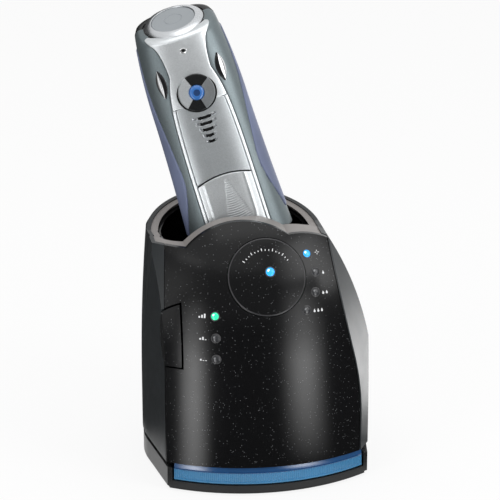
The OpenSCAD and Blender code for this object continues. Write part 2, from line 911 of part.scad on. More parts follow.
module power_inlet() {
    color("#141516") translate([inlet_x, inlet_y0, inlet_z]) rotate([-90, 0, 0]) difference() {
        linear_extrude(inlet_y1 - inlet_y0) round_rect(inlet_w - 2 * play, inlet_h - 2 * play, 1.8);
        translate([0, 0, inlet_y1 - inlet_y0 - inlet_deep]) linear_extrude(big) round_rect(12, 5.4, 2.4);
        for (x = [-2.6, 2.6]) translate([x, 0, inlet_y1 - inlet_y0 - inlet_deep - 3]) cylinder(h = 4, d = 1.6);
    }
}

module inlet_pins() {
    color("silver") for (x = [-2.6, 2.6])
        translate([inlet_x + x, inlet_y1 - inlet_deep - 3, inlet_z]) rotate([-90, 0, 0]) cylinder(h = 8, d = 1.55);
}

// ---- controls of the station ----

module start_button() {
    color("#15171a") difference() {
        union() {
            intersection() {
                front_skin(-0.2, start_plate);
                on_front(start_x, start_z) translate([0, 0, -20]) cylinder(h = 40, d = start_d);
            }
            on_front(start_x, start_z) {
                h = board_depth - switch_h - start_travel - play;
                translate([0, 0, -h]) cylinder(h = h - 1, r = 3);
            }
        }
        on_front(start_x, start_z) translate([start_light[0], start_light[1], -4])
            cylinder(h = 10, d = start_light_d + 0.2);
    }
}

module start_light_lens() {
    color("#1f8fe0") on_front(start_x, start_z)
        translate([start_light[0], start_light[1], 0.2]) intersection() {
            translate([0, 0, -4]) cylinder(h = 6, d = start_light_d);
            translate([0, 0, -start_light_d]) sphere(r = start_light_d + 0.7);
        }
}

module lift_button() {
    color("#15171a") {
        intersection() {
            difference() {
                housing_form(-0.2);
                housing_form(lift_plate);
            }
            lift_zone(0);
        }
        // stem behind the button, inside the left front corner
        intersection() {
            housing_form(lift_plate - run_gap);
            translate([stem_x, stem_y - 2.5, lift_z - 8]) cube([stem_w, 8, 16]);
        }
        translate([stem_x, stem_y, strike_top + 1]) cube([stem_w, 4, lift_z - strike_top]);
        translate([stem_x, stem_y, strike_top + 1]) cube([stem_w, 9, 3]);
        translate([stem_x, stem_y + 6.6, hook_z]) cube([stem_w, 2.4, strike_top - hook_z + 3]);
    }
}

// ---- shaver ----

// Half width and half depth of the body at a place along it
function half_w(l) = let (t = l - neck)
    (l < waist_l ? body_w_waist + (body_w_head - body_w_waist) * pow((waist_l - l) / (waist_l - neck), 1.6)
                 : body_w_waist - (body_w_waist - body_w_end + 4) * pow((l - waist_l) / (body_end - waist_l), 2)) / 2;
function half_d(l) = body_d / 2 + (l < waist_l ? 1.5 * pow((waist_l - l) / waist_l, 2)
                                               : -2 * pow((l - waist_l) / (body_end - waist_l), 2));
function signed_pow(v, e) = sign(v) * pow(abs(v), e);

// One cross-section of the body, grown outwards; the free end slants down towards the face
function body_ring(l, grow, n) = [for (k = [0:n - 1])
    let (a = 360 * k / n,
         x = (half_w(l) + grow) * signed_pow(cos(a), 2 / squareness),
         y = (half_d(l) + grow) * signed_pow(sin(a), 2 / squareness))
    [x, y, l + y * slant * pow(max(0, (l - slant_from) / (body_end - slant_from)), 2)]];

// Smooth body between two places along the shaver
module body_loft(grow, l0, l1, steps = 12, n = 44) {
    rings = [for (i = [0:steps]) body_ring(l0 + (l1 - l0) * i / steps, grow, n)];
    points = [for (r = rings) for (p = r) p];
    faces = [
        [for (k = [0:n - 1]) k],
        for (i = [0:steps - 1]) for (k = [0:n - 1])
            let (m = (k + 1) % n) [i * n + k, (i + 1) * n + k, (i + 1) * n + m, i * n + m],
        [for (k = [n - 1:-1:0]) steps * n + k]];
    polyhedron(points, faces, convexity = 6);
}

// Half width of the silver face, an hourglass
function face_half(l) = l < face_waist
    ? face_w / 2 + 7 * pow((face_waist - l) / face_waist, 0.9)
    : face_w / 2 + 8 * pow((l - face_waist) / (body_end - face_waist), 1.5);

// Outline of the silver face between two places, drawn along the shaver
module face_outline(l0, l1, in) {
    steps = 10;
    polygon([for (i = [0:steps]) let (l = l0 + (l1 - l0) * i / steps) [face_half(l) - in, l],
             for (i = [steps:-1:0]) let (l = l0 + (l1 - l0) * i / steps) [-face_half(l) + in, l]]);
}

// Room in front of the body's middle, inside the outline given as children
module before_face() {
    rotate([90, 0, 0]) linear_extrude(60) children();
}

module shaver_back() {
    color("#1b1d20") shaver_frame() difference() {
        intersection() {
            body_loft(0, neck, body_end);
            translate([-60, -60, neck]) cube([120, 60 + back_y + 60, body_l + 40]);
        }
        intersection() {
            body_loft(1, neck - 1, body_end + 1);
            translate([-60, -60, -60]) cube([120, 60 + back_y, 300]);
        }
        for (s = [-1, 1]) grip_room(s, 0.15);
        end_room(0.15);
    }
}

module shaver_side_panels() {
    color("#77858a") shaver_frame() difference() {
        intersection() {
            body_loft(0, neck, body_end);
            translate([-60, -60, neck - 20]) cube([120, 60 + back_y - 0.2, body_l + 60]);
        }
        before_face() face_outline(neck - 5, body_end + 30, -0.15);
        body_loft(-skin, neck - 1, body_end + 1);
        for (s = [-1, 1]) grip_room(s, 0.15);
    }
}

// Band along the side that the soft grip lies in
module grip_room(side, grow) {
    rotate([90, 0, 0]) translate([0, 0, -grip_y1 - grow]) linear_extrude(grip_y1 - grip_y0 + 2 * grow)
        polygon([for (i = [0:8]) let (l = grip_l0 - grow + (grip_l1 - grip_l0 + 2 * grow) * i / 8)
                     [side * (half_w(l) - grip_in - grow - 2 * pow((i - 4) / 4, 2)), l],
                 [side * 60, grip_l1 + grow], [side * 60, grip_l0 - grow]]);
}

module grip(side) {
    color("#656d86") shaver_frame() difference() {
        intersection() {
            body_loft(0.4, grip_l0 - 2, grip_l1 + 2);
            grip_room(side, 0);
        }
        body_loft(-skin, neck - 1, body_end + 1);
    }
}

module shaver_grip_left() {
    grip(-1);
}

module shaver_grip_right() {
    grip(1);
}

// Frame that fills the front half of the body and carries its panels
module shaver_core() {
    color("#303336") shaver_frame() difference() {
        intersection() {
            body_loft(-skin - 0.1, neck, body_end - 1);
            translate([-60, -60, neck - 20]) cube([120, 60 + back_y - 0.2, body_l + 60]);
        }
        translate([0, 0, control_l]) rotate([90, 0, 0]) cylinder(h = 60, d = 9);
        end_room(0.3);
    }
}

module shaver_face() {
    color("#c3c8cb") shaver_frame() difference() {
        intersection() {
            body_loft(0.3, slider_l1 + 0.2, body_end);
            before_face() face_outline(slider_l1 + 0.2, body_end + 30, 0.1);
        }
        body_loft(-skin, neck - 1, body_end + 1);
        translate([0, 0, control_l]) rotate([90, 0, 0]) cylinder(h = 60, d = control_d + 0.4);
        end_room(0.3);
    }
}

// Panel under the control ring, with its slots
module shaver_slider() {
    color("#aab3b9") shaver_frame() difference() {
        intersection() {
            body_loft(0.5, trimmer_l1 + 0.2, slider_l1);
            before_face() face_outline(trimmer_l1 + 0.2, slider_l1, 0.1);
        }
        body_loft(-skin, neck - 1, body_end + 1);
        for (i = [0:4]) translate([0, 0, slot_l - i * 3.4]) rotate([90, 0, 0]) linear_extrude(60)
            round_rect(13 - 1.9 * i, 1.5, 0.7);
        translate([0, 0, control_l]) rotate([90, 0, 0]) cylinder(h = 60, d = control_d + 0.4);
    }
}

// Cover of the long hair trimmer, the lowest panel of the face
module shaver_trimmer_cover() {
    color("#b6bec4") shaver_frame() difference() {
        intersection() {
            body_loft(0.3, neck, trimmer_l1);
            before_face() face_outline(neck, trimmer_l1, 0.1);
        }
        body_loft(-skin, neck - 1, body_end + 1);
    }
}

// Room of the end ring on the slanted free end
module end_room(grow) {
    translate([0, 0, body_end]) rotate([atan(slant), 0, 0]) translate([0, 0.8, -end_deep - grow])
        cylinder(h = 60, r = end_r + grow);
}

module shaver_end_ring() {
    color("#b9bec2") shaver_frame() translate([0, 0, body_end]) rotate([atan(slant), 0, 0])
        translate([0, 0.8, -end_deep]) difference() {
            union() {
                cylinder(h = end_deep + 0.6, r = end_r);
                translate([0, 0, end_deep + 0.59]) cylinder(h = 0.8, r1 = end_r, r2 = end_r - 1.2);
            }
            translate([0, 0, 1.2]) cylinder(h = big, r = end_r - 3.4);
        }
}

module shaver_end_disc() {
    color("#cfd4d8") shaver_frame() translate([0, 0, body_end]) rotate([atan(slant), 0, 0])
        translate([0, 0.8, -end_deep + 1.25]) cylinder(h = end_deep - 0.6, r = end_r - 3.6);
}

module shaver_control_ring() {
    color("#8a9094") shaver_frame() translate([0, -half_d(control_l) - 0.9, control_l]) rotate([90, 0, 0])
        difference() {
            union() {
                translate([0, 0, -skin - 0.5]) cylinder(h = skin + 1.2, d = control_d);
                translate([0, 0, 0.69]) cylinder(h = 0.7, d1 = control_d, d2 = control_d - 1.6);
            }
            translate([0, 0, -10]) cylinder(h = 20, d = power_d + 0.3);
        }
}

module shaver_power_button() {
    color("#1767b5") shaver_frame() translate([0, -half_d(control_l) - 0.9, control_l]) rotate([90, 0, 0]) {
        translate([0, 0, -4]) cylinder(h = 4.6, d = power_d);
        translate([0, 0, 0.6]) intersection() {
            cylinder(h = 2, d = power_d);
            translate([0, 0, -8]) sphere(r = 9);
        }
    }
}

// Lens-shaped key on the shoulder of the face
module shoulder_key(side) {
    color("#c9ced2") shaver_frame() intersection() {
        body_loft(key_top, key_l - 12, key_l + 12, 4);
        difference() {
            before_face() intersection() {
                translate([side * (key_x + 14), key_l]) circle(17);
                translate([side * (key_x - 14), key_l]) circle(17);
            }
            body_loft(key_gap, key_l - 14, key_l + 14, 4);
        }
    }
}

module shaver_key_left() {
    shoulder_key(-1);
}

module shaver_key_right() {
    shoulder_key(1);
}

// Frame under the body that holds the foil cassette
module shaver_head_frame() {
    color("#2a2c2f") shaver_frame() translate([0, 0, head_end + frame_up]) difference() {
        linear_extrude(neck - head_end - frame_up - play) round_rect(head_w, head_d, 10);
        translate([0, 0, -1]) linear_extrude(11) round_rect(head_w - 8, head_d - 8, 7);
    }
}

module foil_cassette() {
    color("#b7bcc0") shaver_frame() translate([0, 0, head_end]) {
        difference() {
            translate([0, 0, 5]) linear_extrude(15.6) round_rect(head_w - 8.6, head_d - 8.6, 6.5);
            for (y = [-1, 1]) translate([0, y * foil_pitch, 7]) rotate([0, 90, 0])
                cylinder(h = head_w - 16, r = foil_r - 0.4, center = true);
        }
        for (y = [-1, 1]) translate([0, y * foil_pitch, foil_r]) rotate([0, 90, 0]) difference() {
            cylinder(h = head_w - 14, r = foil_r, center = true);
            cylinder(h = head_w, r = foil_r - 0.4, center = true);
            translate([-20 - foil_r + 1.9, -20, -50]) cube([20, 40, 100]);
        }
    }
}

base_tray();
base_feet();
guide_posts();
lift_springs();
latch_strike();
cartridge_tub();
cartridge_grip();
cartridge_cover();
cartridge_filter();
front_panel();
rear_shell();
mouth_bezel();
cradle_bowl();
cradle_funnel();
chassis();
housing_screws();
pump_housing();
impeller();
pump_motor();
suction_pipe();
drain_pipe();
feed_pipe();
nozzle_seals();
heater_ring();
start_board();
level_board();
start_switch();
level_light_high();
level_light_low();
level_light_empty();
clean_light();
program_lights();
power_inlet();
inlet_pins();
start_button();
start_light_lens();
lift_button();
shaver_back();
shaver_core();
shaver_side_panels();
shaver_grip_left();
shaver_grip_right();
shaver_face();
shaver_slider();
shaver_trimmer_cover();
shaver_end_ring();
shaver_end_disc();
shaver_control_ring();
shaver_power_button();
shaver_key_left();
shaver_key_right();
shaver_head_frame();
foil_cassette();
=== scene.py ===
"""Looks of the shaver cleaning station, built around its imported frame.
Shapes are written in millimetres, the camera and the stage in metres."""
import json
import math

import bmesh
import bpy
from mathutils import Matrix, Vector


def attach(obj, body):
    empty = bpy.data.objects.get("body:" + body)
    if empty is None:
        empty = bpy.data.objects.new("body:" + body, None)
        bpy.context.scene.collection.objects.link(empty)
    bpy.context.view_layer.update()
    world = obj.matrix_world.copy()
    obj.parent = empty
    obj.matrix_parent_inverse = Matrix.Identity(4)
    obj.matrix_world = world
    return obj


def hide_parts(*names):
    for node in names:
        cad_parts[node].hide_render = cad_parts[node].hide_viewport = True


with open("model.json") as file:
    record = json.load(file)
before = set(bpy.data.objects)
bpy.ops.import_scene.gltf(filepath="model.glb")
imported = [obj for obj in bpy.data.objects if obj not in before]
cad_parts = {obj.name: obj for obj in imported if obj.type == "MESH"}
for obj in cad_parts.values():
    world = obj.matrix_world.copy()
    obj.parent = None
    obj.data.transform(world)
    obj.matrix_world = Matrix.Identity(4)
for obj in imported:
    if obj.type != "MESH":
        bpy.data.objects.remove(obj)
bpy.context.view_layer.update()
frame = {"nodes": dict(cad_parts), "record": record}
nodes = frame["nodes"]
MM = 0.001

# ---- view ----
VIEW_AZIMUTH = 10        # the camera stands this many degrees to the object's left front
VIEW_ELEVATION = 20
CAMERA_DISTANCE = 1.302
LENS = 165
SENSOR = 36
AIM = Vector((4.9, 39.8, 110)) * MM   # point in the middle of the picture
AIM_DEPTH = 0.055        # the picture's scale holds this far in front of that point


def towards_camera():
    """Unit vector from the object to the camera."""
    a, e = math.radians(VIEW_AZIMUTH), math.radians(VIEW_ELEVATION)
    return Vector((-math.sin(a) * math.cos(e), -math.cos(a) * math.cos(e), math.sin(e)))


def make_camera():
    camera = bpy.data.objects.new("camera", bpy.data.cameras.new("camera"))
    bpy.context.scene.collection.objects.link(camera)
    camera.data.lens = LENS
    camera.data.sensor_width = SENSOR
    away = towards_camera()
    camera.location = AIM + away * (CAMERA_DISTANCE + AIM_DEPTH)
    camera.rotation_euler = away.to_track_quat("Z", "Y").to_euler()
    bpy.context.scene.camera = camera


# ---- node materials ----
def add_node(tree, kind, inputs=None, **settings):
    """Node whose inputs are plain values or the outputs that they are linked to."""
    node = tree.nodes.new(kind)
    for key, value in settings.items():
        setattr(node, key, value)
    for key, value in (inputs or {}).items():
        if isinstance(value, bpy.types.NodeSocket):
            tree.links.new(value, node.inputs[key])
        else:
            node.inputs[key].default_value = value
    return node


class Paint:
    """A principled material with short calls for its nodes."""

    def __init__(self, name, **uniform):
        self.material = bpy.data.materials.new(name)
        self.material.use_nodes = True
        self.tree = self.material.node_tree
        self.shader = self.tree.nodes["Principled BSDF"]
        for socket, value in uniform.items():
            self.shader.inputs[socket.replace("_", " ")].default_value = value

    def add(self, kind, inputs=None, **settings):
        return add_node(self.tree, kind, inputs, **settings)

    def link(self, output, socket):
        self.tree.links.new(output, self.shader.inputs[socket])

    def place(self):
        return self.add("ShaderNodeTexCoord").outputs["Object"]

    def show(self, shader):
        """Let another shader stand in for the principled one. Its light isn't sampled as a lamp."""
        self.tree.links.new(shader.outputs[0], self.tree.nodes["Material Output"].inputs["Surface"])
        self.material.cycles.emission_sampling = "NONE"

    def noise(self, scale, detail=2, rough=0.5, vector=None):
        node = self.add("ShaderNodeTexNoise", {"Scale": scale, "Detail": detail, "Roughness": rough,
                                               "Vector": vector or self.place()})
        return node.outputs["Fac"]

    def cells(self, scale):
        """Distance from the middle of a cell, and the random value of that cell."""
        node = self.add("ShaderNodeTexVoronoi", {"Vector": self.place(), "Scale": scale})
        colour = self.add("ShaderNodeSeparateColor", {"Color": node.outputs["Color"]})
        return node.outputs["Distance"], colour.outputs["Red"]

    def ramp(self, value, stops):
        node = self.add("ShaderNodeValToRGB", {"Fac": value})
        ends = node.color_ramp.elements
        while len(ends) < len(stops):
            ends.new(0.5)
        for end, (at, colour) in zip(ends, stops):
            end.position = at
            end.color = (*colour, 1)
        return node.outputs["Color"]

    def spread(self, value, low, high):
        """The value, which runs from 0 to 1, spread between low and high."""
        node = self.add("ShaderNodeMapRange", {"Value": value, "To Min": low, "To Max": high})
        return node.outputs["Result"]

    def bump(self, height, strength, distance):
        node = self.add("ShaderNodeBump", {"Height": height, "Strength": strength,
                                           "Distance": distance})
        self.link(node.outputs["Normal"], "Normal")


# scales of the noise, in waves per metre
CLOUDS, GLOSS, GRAIN, FLECKS, FLAKES, SCRATCHES = 40, 130, 900, 1500, 3500, 14
BUMP_H = 0.0002
BLACK, WHITE = (0, 0, 0), (1, 1, 1)


def plastic(name, colour, rough, shift=0.15, grain=GRAIN, grain_depth=0.02, **uniform):
    """Moulded plastic: a slightly uneven colour and gloss over a fine moulded grain."""
    paint = Paint(name, **uniform)
    shades = [(0.3, [c * (1 - shift) for c in colour]), (0.7, [c * (1 + shift) for c in colour])]
    paint.link(paint.ramp(paint.noise(CLOUDS, 4), shades), "Base Color")
    paint.link(paint.spread(paint.noise(GLOSS, 3), rough * 0.85, rough * 1.15), "Roughness")
    paint.bump(paint.noise(grain, 2), grain_depth, 1.5 * BUMP_H)
    return paint.material


def flecked_black():
    """Polished black with fine light metal flecks under the surface."""
    paint = Paint("flecked_black", Specular_IOR_Level=0.25)
    distance, random = paint.cells(FLECKS)
    near = paint.ramp(distance, [(0.12, WHITE), (0.32, BLACK)])
    picked = paint.ramp(random, [(0.9, BLACK), (0.97, WHITE)])
    fleck = paint.add("ShaderNodeMath", {0: near, 1: picked}, operation="MULTIPLY").outputs[0]
    paint.link(paint.ramp(fleck, [(0, (0.0035, 0.0036, 0.004)), (1, (0.27, 0.28, 0.29))]),
               "Base Color")
    paint.link(paint.spread(paint.noise(220, 3), 0.17, 0.21), "Roughness")
    return paint.material


def metallic_lacquer(name, colour, metallic=0.8, rough=0.34):
    """Silver lacquer: tiny flakes turn the light a little differently from each other."""
    paint = Paint(name, Metallic=metallic)
    flake = paint.cells(FLAKES)[1]
    paint.link(paint.ramp(flake, [(0, [c * 0.9 for c in colour]), (1, [c * 1.1 for c in colour])]),
               "Base Color")
    paint.link(paint.spread(paint.noise(160, 3), rough * 0.85, rough * 1.15), "Roughness")
    paint.bump(flake, 0.03, BUMP_H)
    return paint.material


def brushed(name, colour, rough=0.24, stretch=60, axis=2):
    """Brushed metal with fine scratches along the given axis."""
    paint = Paint(name, Metallic=1.0)
    scale = [stretch * SCRATCHES] * 3
    scale[axis] = SCRATCHES
    mapping = paint.add("ShaderNodeMapping", {"Vector": paint.place(), "Scale": scale})
    lines = paint.noise(4, 5, 0.7, mapping.outputs["Vector"])
    paint.link(paint.ramp(lines, [(0.3, [c * 0.82 for c in colour]), (0.7, colour)]), "Base Color")
    paint.link(paint.spread(lines, rough * 0.7, rough * 1.4), "Roughness")
    paint.bump(lines, 0.08, BUMP_H)
    return paint.material


def glowing(name, colour, glow, strength):
    """Lens lit from behind, with a slightly cloudy glow. The painted highlights on the lights glow
    with it too, though they are no lamps.
    """
    paint = Paint(name, Emission_Strength=strength, Roughness=0.12)
    cloud = paint.noise(GRAIN, 2)
    for shade, socket in ((colour, "Base Color"), (glow, "Emission Color")):
        paint.link(paint.ramp(cloud, [(0.2, shade), (0.8, [min(1, c * 1.3) for c in shade])]), socket)
    return paint.material


def make_materials():
    """All finishes by name. Those that a record's slot names have that slot's name."""
    return {
        "black_gloss": flecked_black(),
        "shell_grey": plastic("shell_grey", (0.018, 0.021, 0.023), 0.36, Specular_IOR_Level=0.3),
        "bezel_grey": plastic("bezel_grey", (0.25, 0.232, 0.222), 0.42, shift=0.05),
        "cradle_black": plastic("cradle_black", (0.004, 0.004, 0.0045), 0.14, grain_depth=0.01),
        "base_black": plastic("base_black", (0.012, 0.0125, 0.013), 0.34, Specular_IOR_Level=0.35),
        "rubber_black": plastic("rubber_black", (0.02, 0.02, 0.021), 0.75, grain_depth=0.1),
        "blue_clear": plastic("blue_clear", (0.05, 0.22, 0.42), 0.28, shift=0.1, Coat_Weight=0.3),
        "blue_deep": plastic("blue_deep", (0.012, 0.07, 0.2), 0.2, Coat_Weight=0.5),
        "filter_white": plastic("filter_white", (0.7, 0.72, 0.72), 0.9, grain=500, grain_depth=0.5),
        "inner_grey": plastic("inner_grey", (0.05, 0.055, 0.06), 0.5),
        "pipe_white": plastic("pipe_white", (0.55, 0.57, 0.57), 0.4, shift=0.06),
        "steel": brushed("steel", (0.62, 0.63, 0.64)),
        "copper": brushed("copper", (0.72, 0.36, 0.18), 0.3),
        "board_green": plastic("board_green", (0.02, 0.13, 0.05), 0.35),
        "lens_green": glowing("lens_green", (0.02, 0.4, 0.2), (0.02, 0.75, 0.35), 0.8),
        "lens_grey": plastic("lens_grey", (0.03, 0.031, 0.034), 0.25),
        "lens_blue": glowing("lens_blue", (0.02, 0.2, 0.6), (0.02, 0.36, 0.9), 0.9),
        "inlet_black": plastic("inlet_black", (0.01, 0.01, 0.011), 0.45),
        "shaver_silver": metallic_lacquer("shaver_silver", (0.6, 0.625, 0.64)),
        "shaver_slate": metallic_lacquer("shaver_slate", (0.44, 0.465, 0.48)),
        "shaver_steel_grey": metallic_lacquer("shaver_steel_grey", (0.15, 0.18, 0.19), 0.6, 0.4),
        "dial_grey": metallic_lacquer("dial_grey", (0.27, 0.285, 0.295)),
        "grip_blue_grey": plastic("grip_blue_grey", (0.13, 0.155, 0.25), 0.5, grain=1500,
                                  grain_depth=0.12),
        "shaver_black": plastic("shaver_black", (0.006, 0.0065, 0.007), 0.25,
                                Specular_IOR_Level=0.3),
        "ring_brushed": brushed("ring_brushed", (0.62, 0.64, 0.66), 0.26),
        "disc_pale": plastic("disc_pale", (0.3, 0.325, 0.345), 0.3, shift=0.05),
        "ring_chrome": brushed("ring_chrome", (0.8, 0.81, 0.82), 0.1, stretch=20),
        "button_blue": plastic("button_blue", (0.03, 0.14, 0.42), 0.15, Coat_Weight=0.5),
        "button_deep": plastic("button_deep", (0.01, 0.04, 0.13), 0.15),
        "collar_black": plastic("collar_black", (0.03, 0.03, 0.032), 0.3),
        "rim_grey": plastic("rim_grey", (0.03, 0.03, 0.032), 0.22),
        "print_white": plastic("print_white", (0.75, 0.76, 0.77), 0.6, shift=0.04),
        # painted highlights on the lights: a glowing white spot on lit lights and a grey spot on dark
        # ones stand in for the reflection in their domes
        "glint_white": glowing("glint_white", (0.85, 0.95, 0.95), (0.8, 0.95, 1.0), 0.6),
        "glint_grey": plastic("glint_grey", (0.16, 0.165, 0.17), 0.3),
    }


def dress_nodes(materials):
    """Every CAD node takes the material of its slot in the record."""
    for row in frame["record"]["subparts"]:
        slots = nodes[row["node"]].data.materials
        slots.clear()
        slots.append(materials[row["material_slot"]])


# ---- meshes ----
def mesh_object(name, points, faces, materials, body, face_slots=None, sharp=35):
    """Piece from points in millimetres, which rides on a body."""
    mesh = bpy.data.meshes.new(name)
    mesh.from_pydata([Vector(p) * MM for p in points], [], faces)
    for material in materials:
        mesh.materials.append(material)
    if face_slots:
        mesh.polygons.foreach_set("material_index", face_slots)
    tidy = bmesh.new()
    tidy.from_mesh(mesh)
    bmesh.ops.recalc_face_normals(tidy, faces=tidy.faces)
    tidy.to_mesh(mesh)
    tidy.free()
    mesh.shade_smooth()
    mesh.set_sharp_from_angle(angle=math.radians(sharp))
    obj = bpy.data.objects.new(name, mesh)
    bpy.context.scene.collection.objects.link(obj)
    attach(obj, body)
    return obj


def grid_faces(rows, columns, start=0, closed=False):
    """Quads between the points of a grid, which are laid out row by row."""
    wrap = columns if closed else columns - 1
    return [(start + i * columns + j, start + i * columns + (j + 1) % columns,
             start + (i + 1) * columns + (j + 1) % columns, start + (i + 1) * columns + j)
            for i in range(rows - 1) for j in range(wrap)]


def circle(radius, sides):
    """Points (x, y) round the origin."""
    angles = [2 * math.pi * k / sides for k in range(sides)]
    return [(radius * math.cos(a), radius * math.sin(a)) for a in angles]


def ring_faces(rows, sides):
    """Faces of a ring, whose last row of points joins its first."""
    last = (rows - 1) * sides
    return grid_faces(rows, sides, closed=True) + [
        (last + k, last + (k + 1) % sides, (k + 1) % sides, k) for k in range(sides)]


def turned(name, profile, place, materials, body, sides=96, pick=None, sharp=35):
    """Piece turned about the Z axis of place from a profile [(radius, height), ...].
    pick(angle, row) chooses the material of a face, its angle in degrees from the X axis."""
    points = [place @ Vector((x, y, z)) for r, z in profile for x, y in circle(r, sides)]
    faces = grid_faces(len(profile), sides, closed=True)
    slots = [pick((k + 0.5) * 360 / sides, row) if pick else 0
             for row in range(len(profile) - 1) for k in range(sides)]
    if profile[0] != profile[-1]:
        last = (len(profile) - 1) * sides
        faces += [tuple(range(sides)), tuple(range(last, last + sides))]
        slots += [0, slots[-1]]
    return mesh_object(name, points, faces, materials, body, slots, sharp)


def closed_shell(rows, columns, outer, inner):
    """Points and faces of a thin shell between two grids of the same layout."""
    count = rows * columns
    faces = grid_faces(rows, columns) + grid_faces(rows, columns, count)
    rim = (list(range(columns)) + [i * columns + columns - 1 for i in range(1, rows)]
           + [(rows - 1) * columns + j for j in range(columns - 2, -1, -1)]
           + [i * columns for i in range(rows - 2, 0, -1)])
    faces += [(rim[k - 1], rim[k], rim[k] + count, rim[k - 1] + count) for k in range(len(rim))]
    return outer + inner, faces


def round_over(distance, radius):
    """Drop of a rounded edge at a distance from it."""
    if radius <= 0 or distance >= radius:
        return 0
    return radius - math.sqrt(max(0, radius ** 2 - (radius - max(0, distance)) ** 2))


def edge_steps(length, radius, count):
    """Shares of a length, closer together at both rounded ends."""
    near = [0, 0.06 * radius, 0.25 * radius, 0.55 * radius, radius]
    middle = [radius + (length - 2 * radius) * i / count for i in range(1, count)]
    steps = near + middle + [length - d for d in reversed(near)]
    return [s / length for s in steps]


def soft_step(value, edge, width):
    """0 under the edge, 1 over it, with a smooth change as wide as the width."""
    t = min(1, max(0, (value - edge) / width + 0.5))
    return t * t * (3 - 2 * t)


# ---- surface of the shaver, in its own frame and in millimetres ----
DOCK = Vector((-7.9, 0, 138))
LEAN_LEFT, LEAN_BACK, TURN = 16.1, 9.7, -3
SHAVER = (Matrix.Translation(DOCK) @ Matrix.Rotation(math.radians(-LEAN_LEFT), 4, "Y")
          @ Matrix.Rotation(math.radians(-LEAN_BACK), 4, "X")
          @ Matrix.Rotation(math.radians(TURN), 4, "Z"))
NECK, WAIST, BODY_END = -4, 75, 124
WIDTH_HEAD, WIDTH_WAIST, WIDTH_END, DEPTH = 60, 54, 46, 36
SQUARENESS, SLANT, SLANT_FROM = 2.7, 0.42, 70
BACK_Y = 4               # where the back shell meets the side panels
BACK_GAP = 0.008         # seam there, as an angle
SHELL_T = 1.8            # thickness of the shaver's panels
FACE_WAIST_L, FACE_WAIST = 98, 12                       # half width of the face where it is narrowest
FACE_SWELL, FACE_SWELL_L = 5.8, 17                      # how it widens below that place
FACE_FLARE, FACE_CORNER = 4, 4.5                        # and above it
CONTROL_L, CONTROL_R, CONTROL_BORE, CONTROL_PROUD, POWER_R = 85, 10.4, 4.4, 0.9, 4.2
SLIDER_TOP, SLIDER_BOTTOM, SLIDER_BOW = 78.5, 33.2, 3.2
RAIL_W, SEAM = 1.7, 0.25
GRIP_FROM, GRIP_TO, GRIP_WIDE, GRIP_SINK = 6, 115, 38, 1.1
GRIP_FRONT, GRIP_TAPER, GRIP_FOOT_TAPER = 45, 34, 30    # front edge, degrees from the face's middle
GRIP_TAPER_L = 66
GRIP_REAR, GRIP_REAR_TAPER = 3.5, 5.5                   # rear edge, behind the body's middle
KEY_L, KEY_X, KEY_LENS, KEY_HALF, KEY_REACH, KEY_FOOT = 96, 17, 17, 2.7, 9.1, 0.7
RESET_L, RESET_R = 114, 1.1
END_R, DISC_R, END_DEEP = 17.1, 12.7, 3
# slots under the control ring
SLOTS, SLOT_HALF, SLOT_SHRINK, SLOT_FIRST, SLOT_PITCH = 5, 6.8, 0.95, 14.8, 3.5
SLOT_BOW, SLOT_W, SLOT_DEEP = 1, 0.85, 1.1
# ripples and arch on the trimmer cover
FAN_X, FAN_L, FAN_R, FAN_PITCH, FAN_DEEP = 0.5, 35, 27, 1.3, 0.22
FAN_LEFT, FAN_RIGHT = -12, 19                           # degrees from straight down
ARCH_HALF, ARCH_L, ARCH_H, ARCH_W = 11.5, 18, 15, 0.6


def half_width(l):
    """Half width of the body, which is slimmest at its free end."""
    if l < WAIST:
        flare = ((WAIST - l) / (WAIST - NECK)) ** 1.6
        return (WIDTH_WAIST + (WIDTH_HEAD - WIDTH_WAIST) * flare) / 2
    return (WIDTH_WAIST - (WIDTH_WAIST - WIDTH_END) * ((l - WAIST) / (BODY_END - WAIST)) ** 2) / 2


def half_depth(l):
    if l < WAIST:
        return DEPTH / 2 + 1.5 * ((WAIST - l) / WAIST) ** 2
    return DEPTH / 2 - 2 * ((l - WAIST) / (BODY_END - WAIST)) ** 2


def face_half(l):
    """Half width of the silver face, an hourglass that flares under the end ring."""
    if l < FACE_WAIST_L:
        return FACE_WAIST + FACE_SWELL * (1 - math.exp((l - FACE_WAIST_L) / FACE_SWELL_L))
    t = (l - FACE_WAIST_L) / (BODY_END - FACE_WAIST_L)
    return FACE_WAIST + FACE_FLARE * t ** 2.2 + FACE_CORNER * t ** 12


def signed_power(value, exponent):
    return math.copysign(abs(value) ** exponent, value)


def skin(angle, l, grow=0.0):
    """Point on the body, at an angle from the middle of its face towards the right."""
    x = (half_width(l) + grow) * signed_power(math.sin(angle), 2 / SQUARENESS)
    y = -(half_depth(l) + grow) * signed_power(math.cos(angle), 2 / SQUARENESS)
    lean = max(0, (l - SLANT_FROM) / (BODY_END - SLANT_FROM)) ** 2
    return Vector((x, y, l + y * SLANT * lean))


def angle_at(x, l):
    """Angle of the front point that lies x to the right of the middle."""
    share = min(1, abs(x) / half_width(l)) ** (SQUARENESS / 2)
    return math.copysign(math.asin(share), x)


def angle_of_depth(y, l):
    """Angle of the right-hand point that lies y behind the middle."""
    share = max(-1, min(1, y / half_depth(l)))
    return math.acos(-signed_power(share, SQUARENESS / 2))


def grip_angles(l):
    """Front and rear edge of the right-hand grip, which is widest at a third of the length."""
    if l > GRIP_WIDE:
        front = GRIP_FRONT + GRIP_TAPER * ((l - GRIP_WIDE) / GRIP_TAPER_L) ** 1.2
    else:
        front = GRIP_FRONT + GRIP_FOOT_TAPER * ((GRIP_WIDE - l) / (GRIP_WIDE - GRIP_FROM)) ** 1.5
    t = (GRIP_TO - l) / (GRIP_TO - GRIP_FROM)
    return math.radians(front), angle_of_depth(GRIP_REAR + GRIP_REAR_TAPER * t ** 0.8, l)


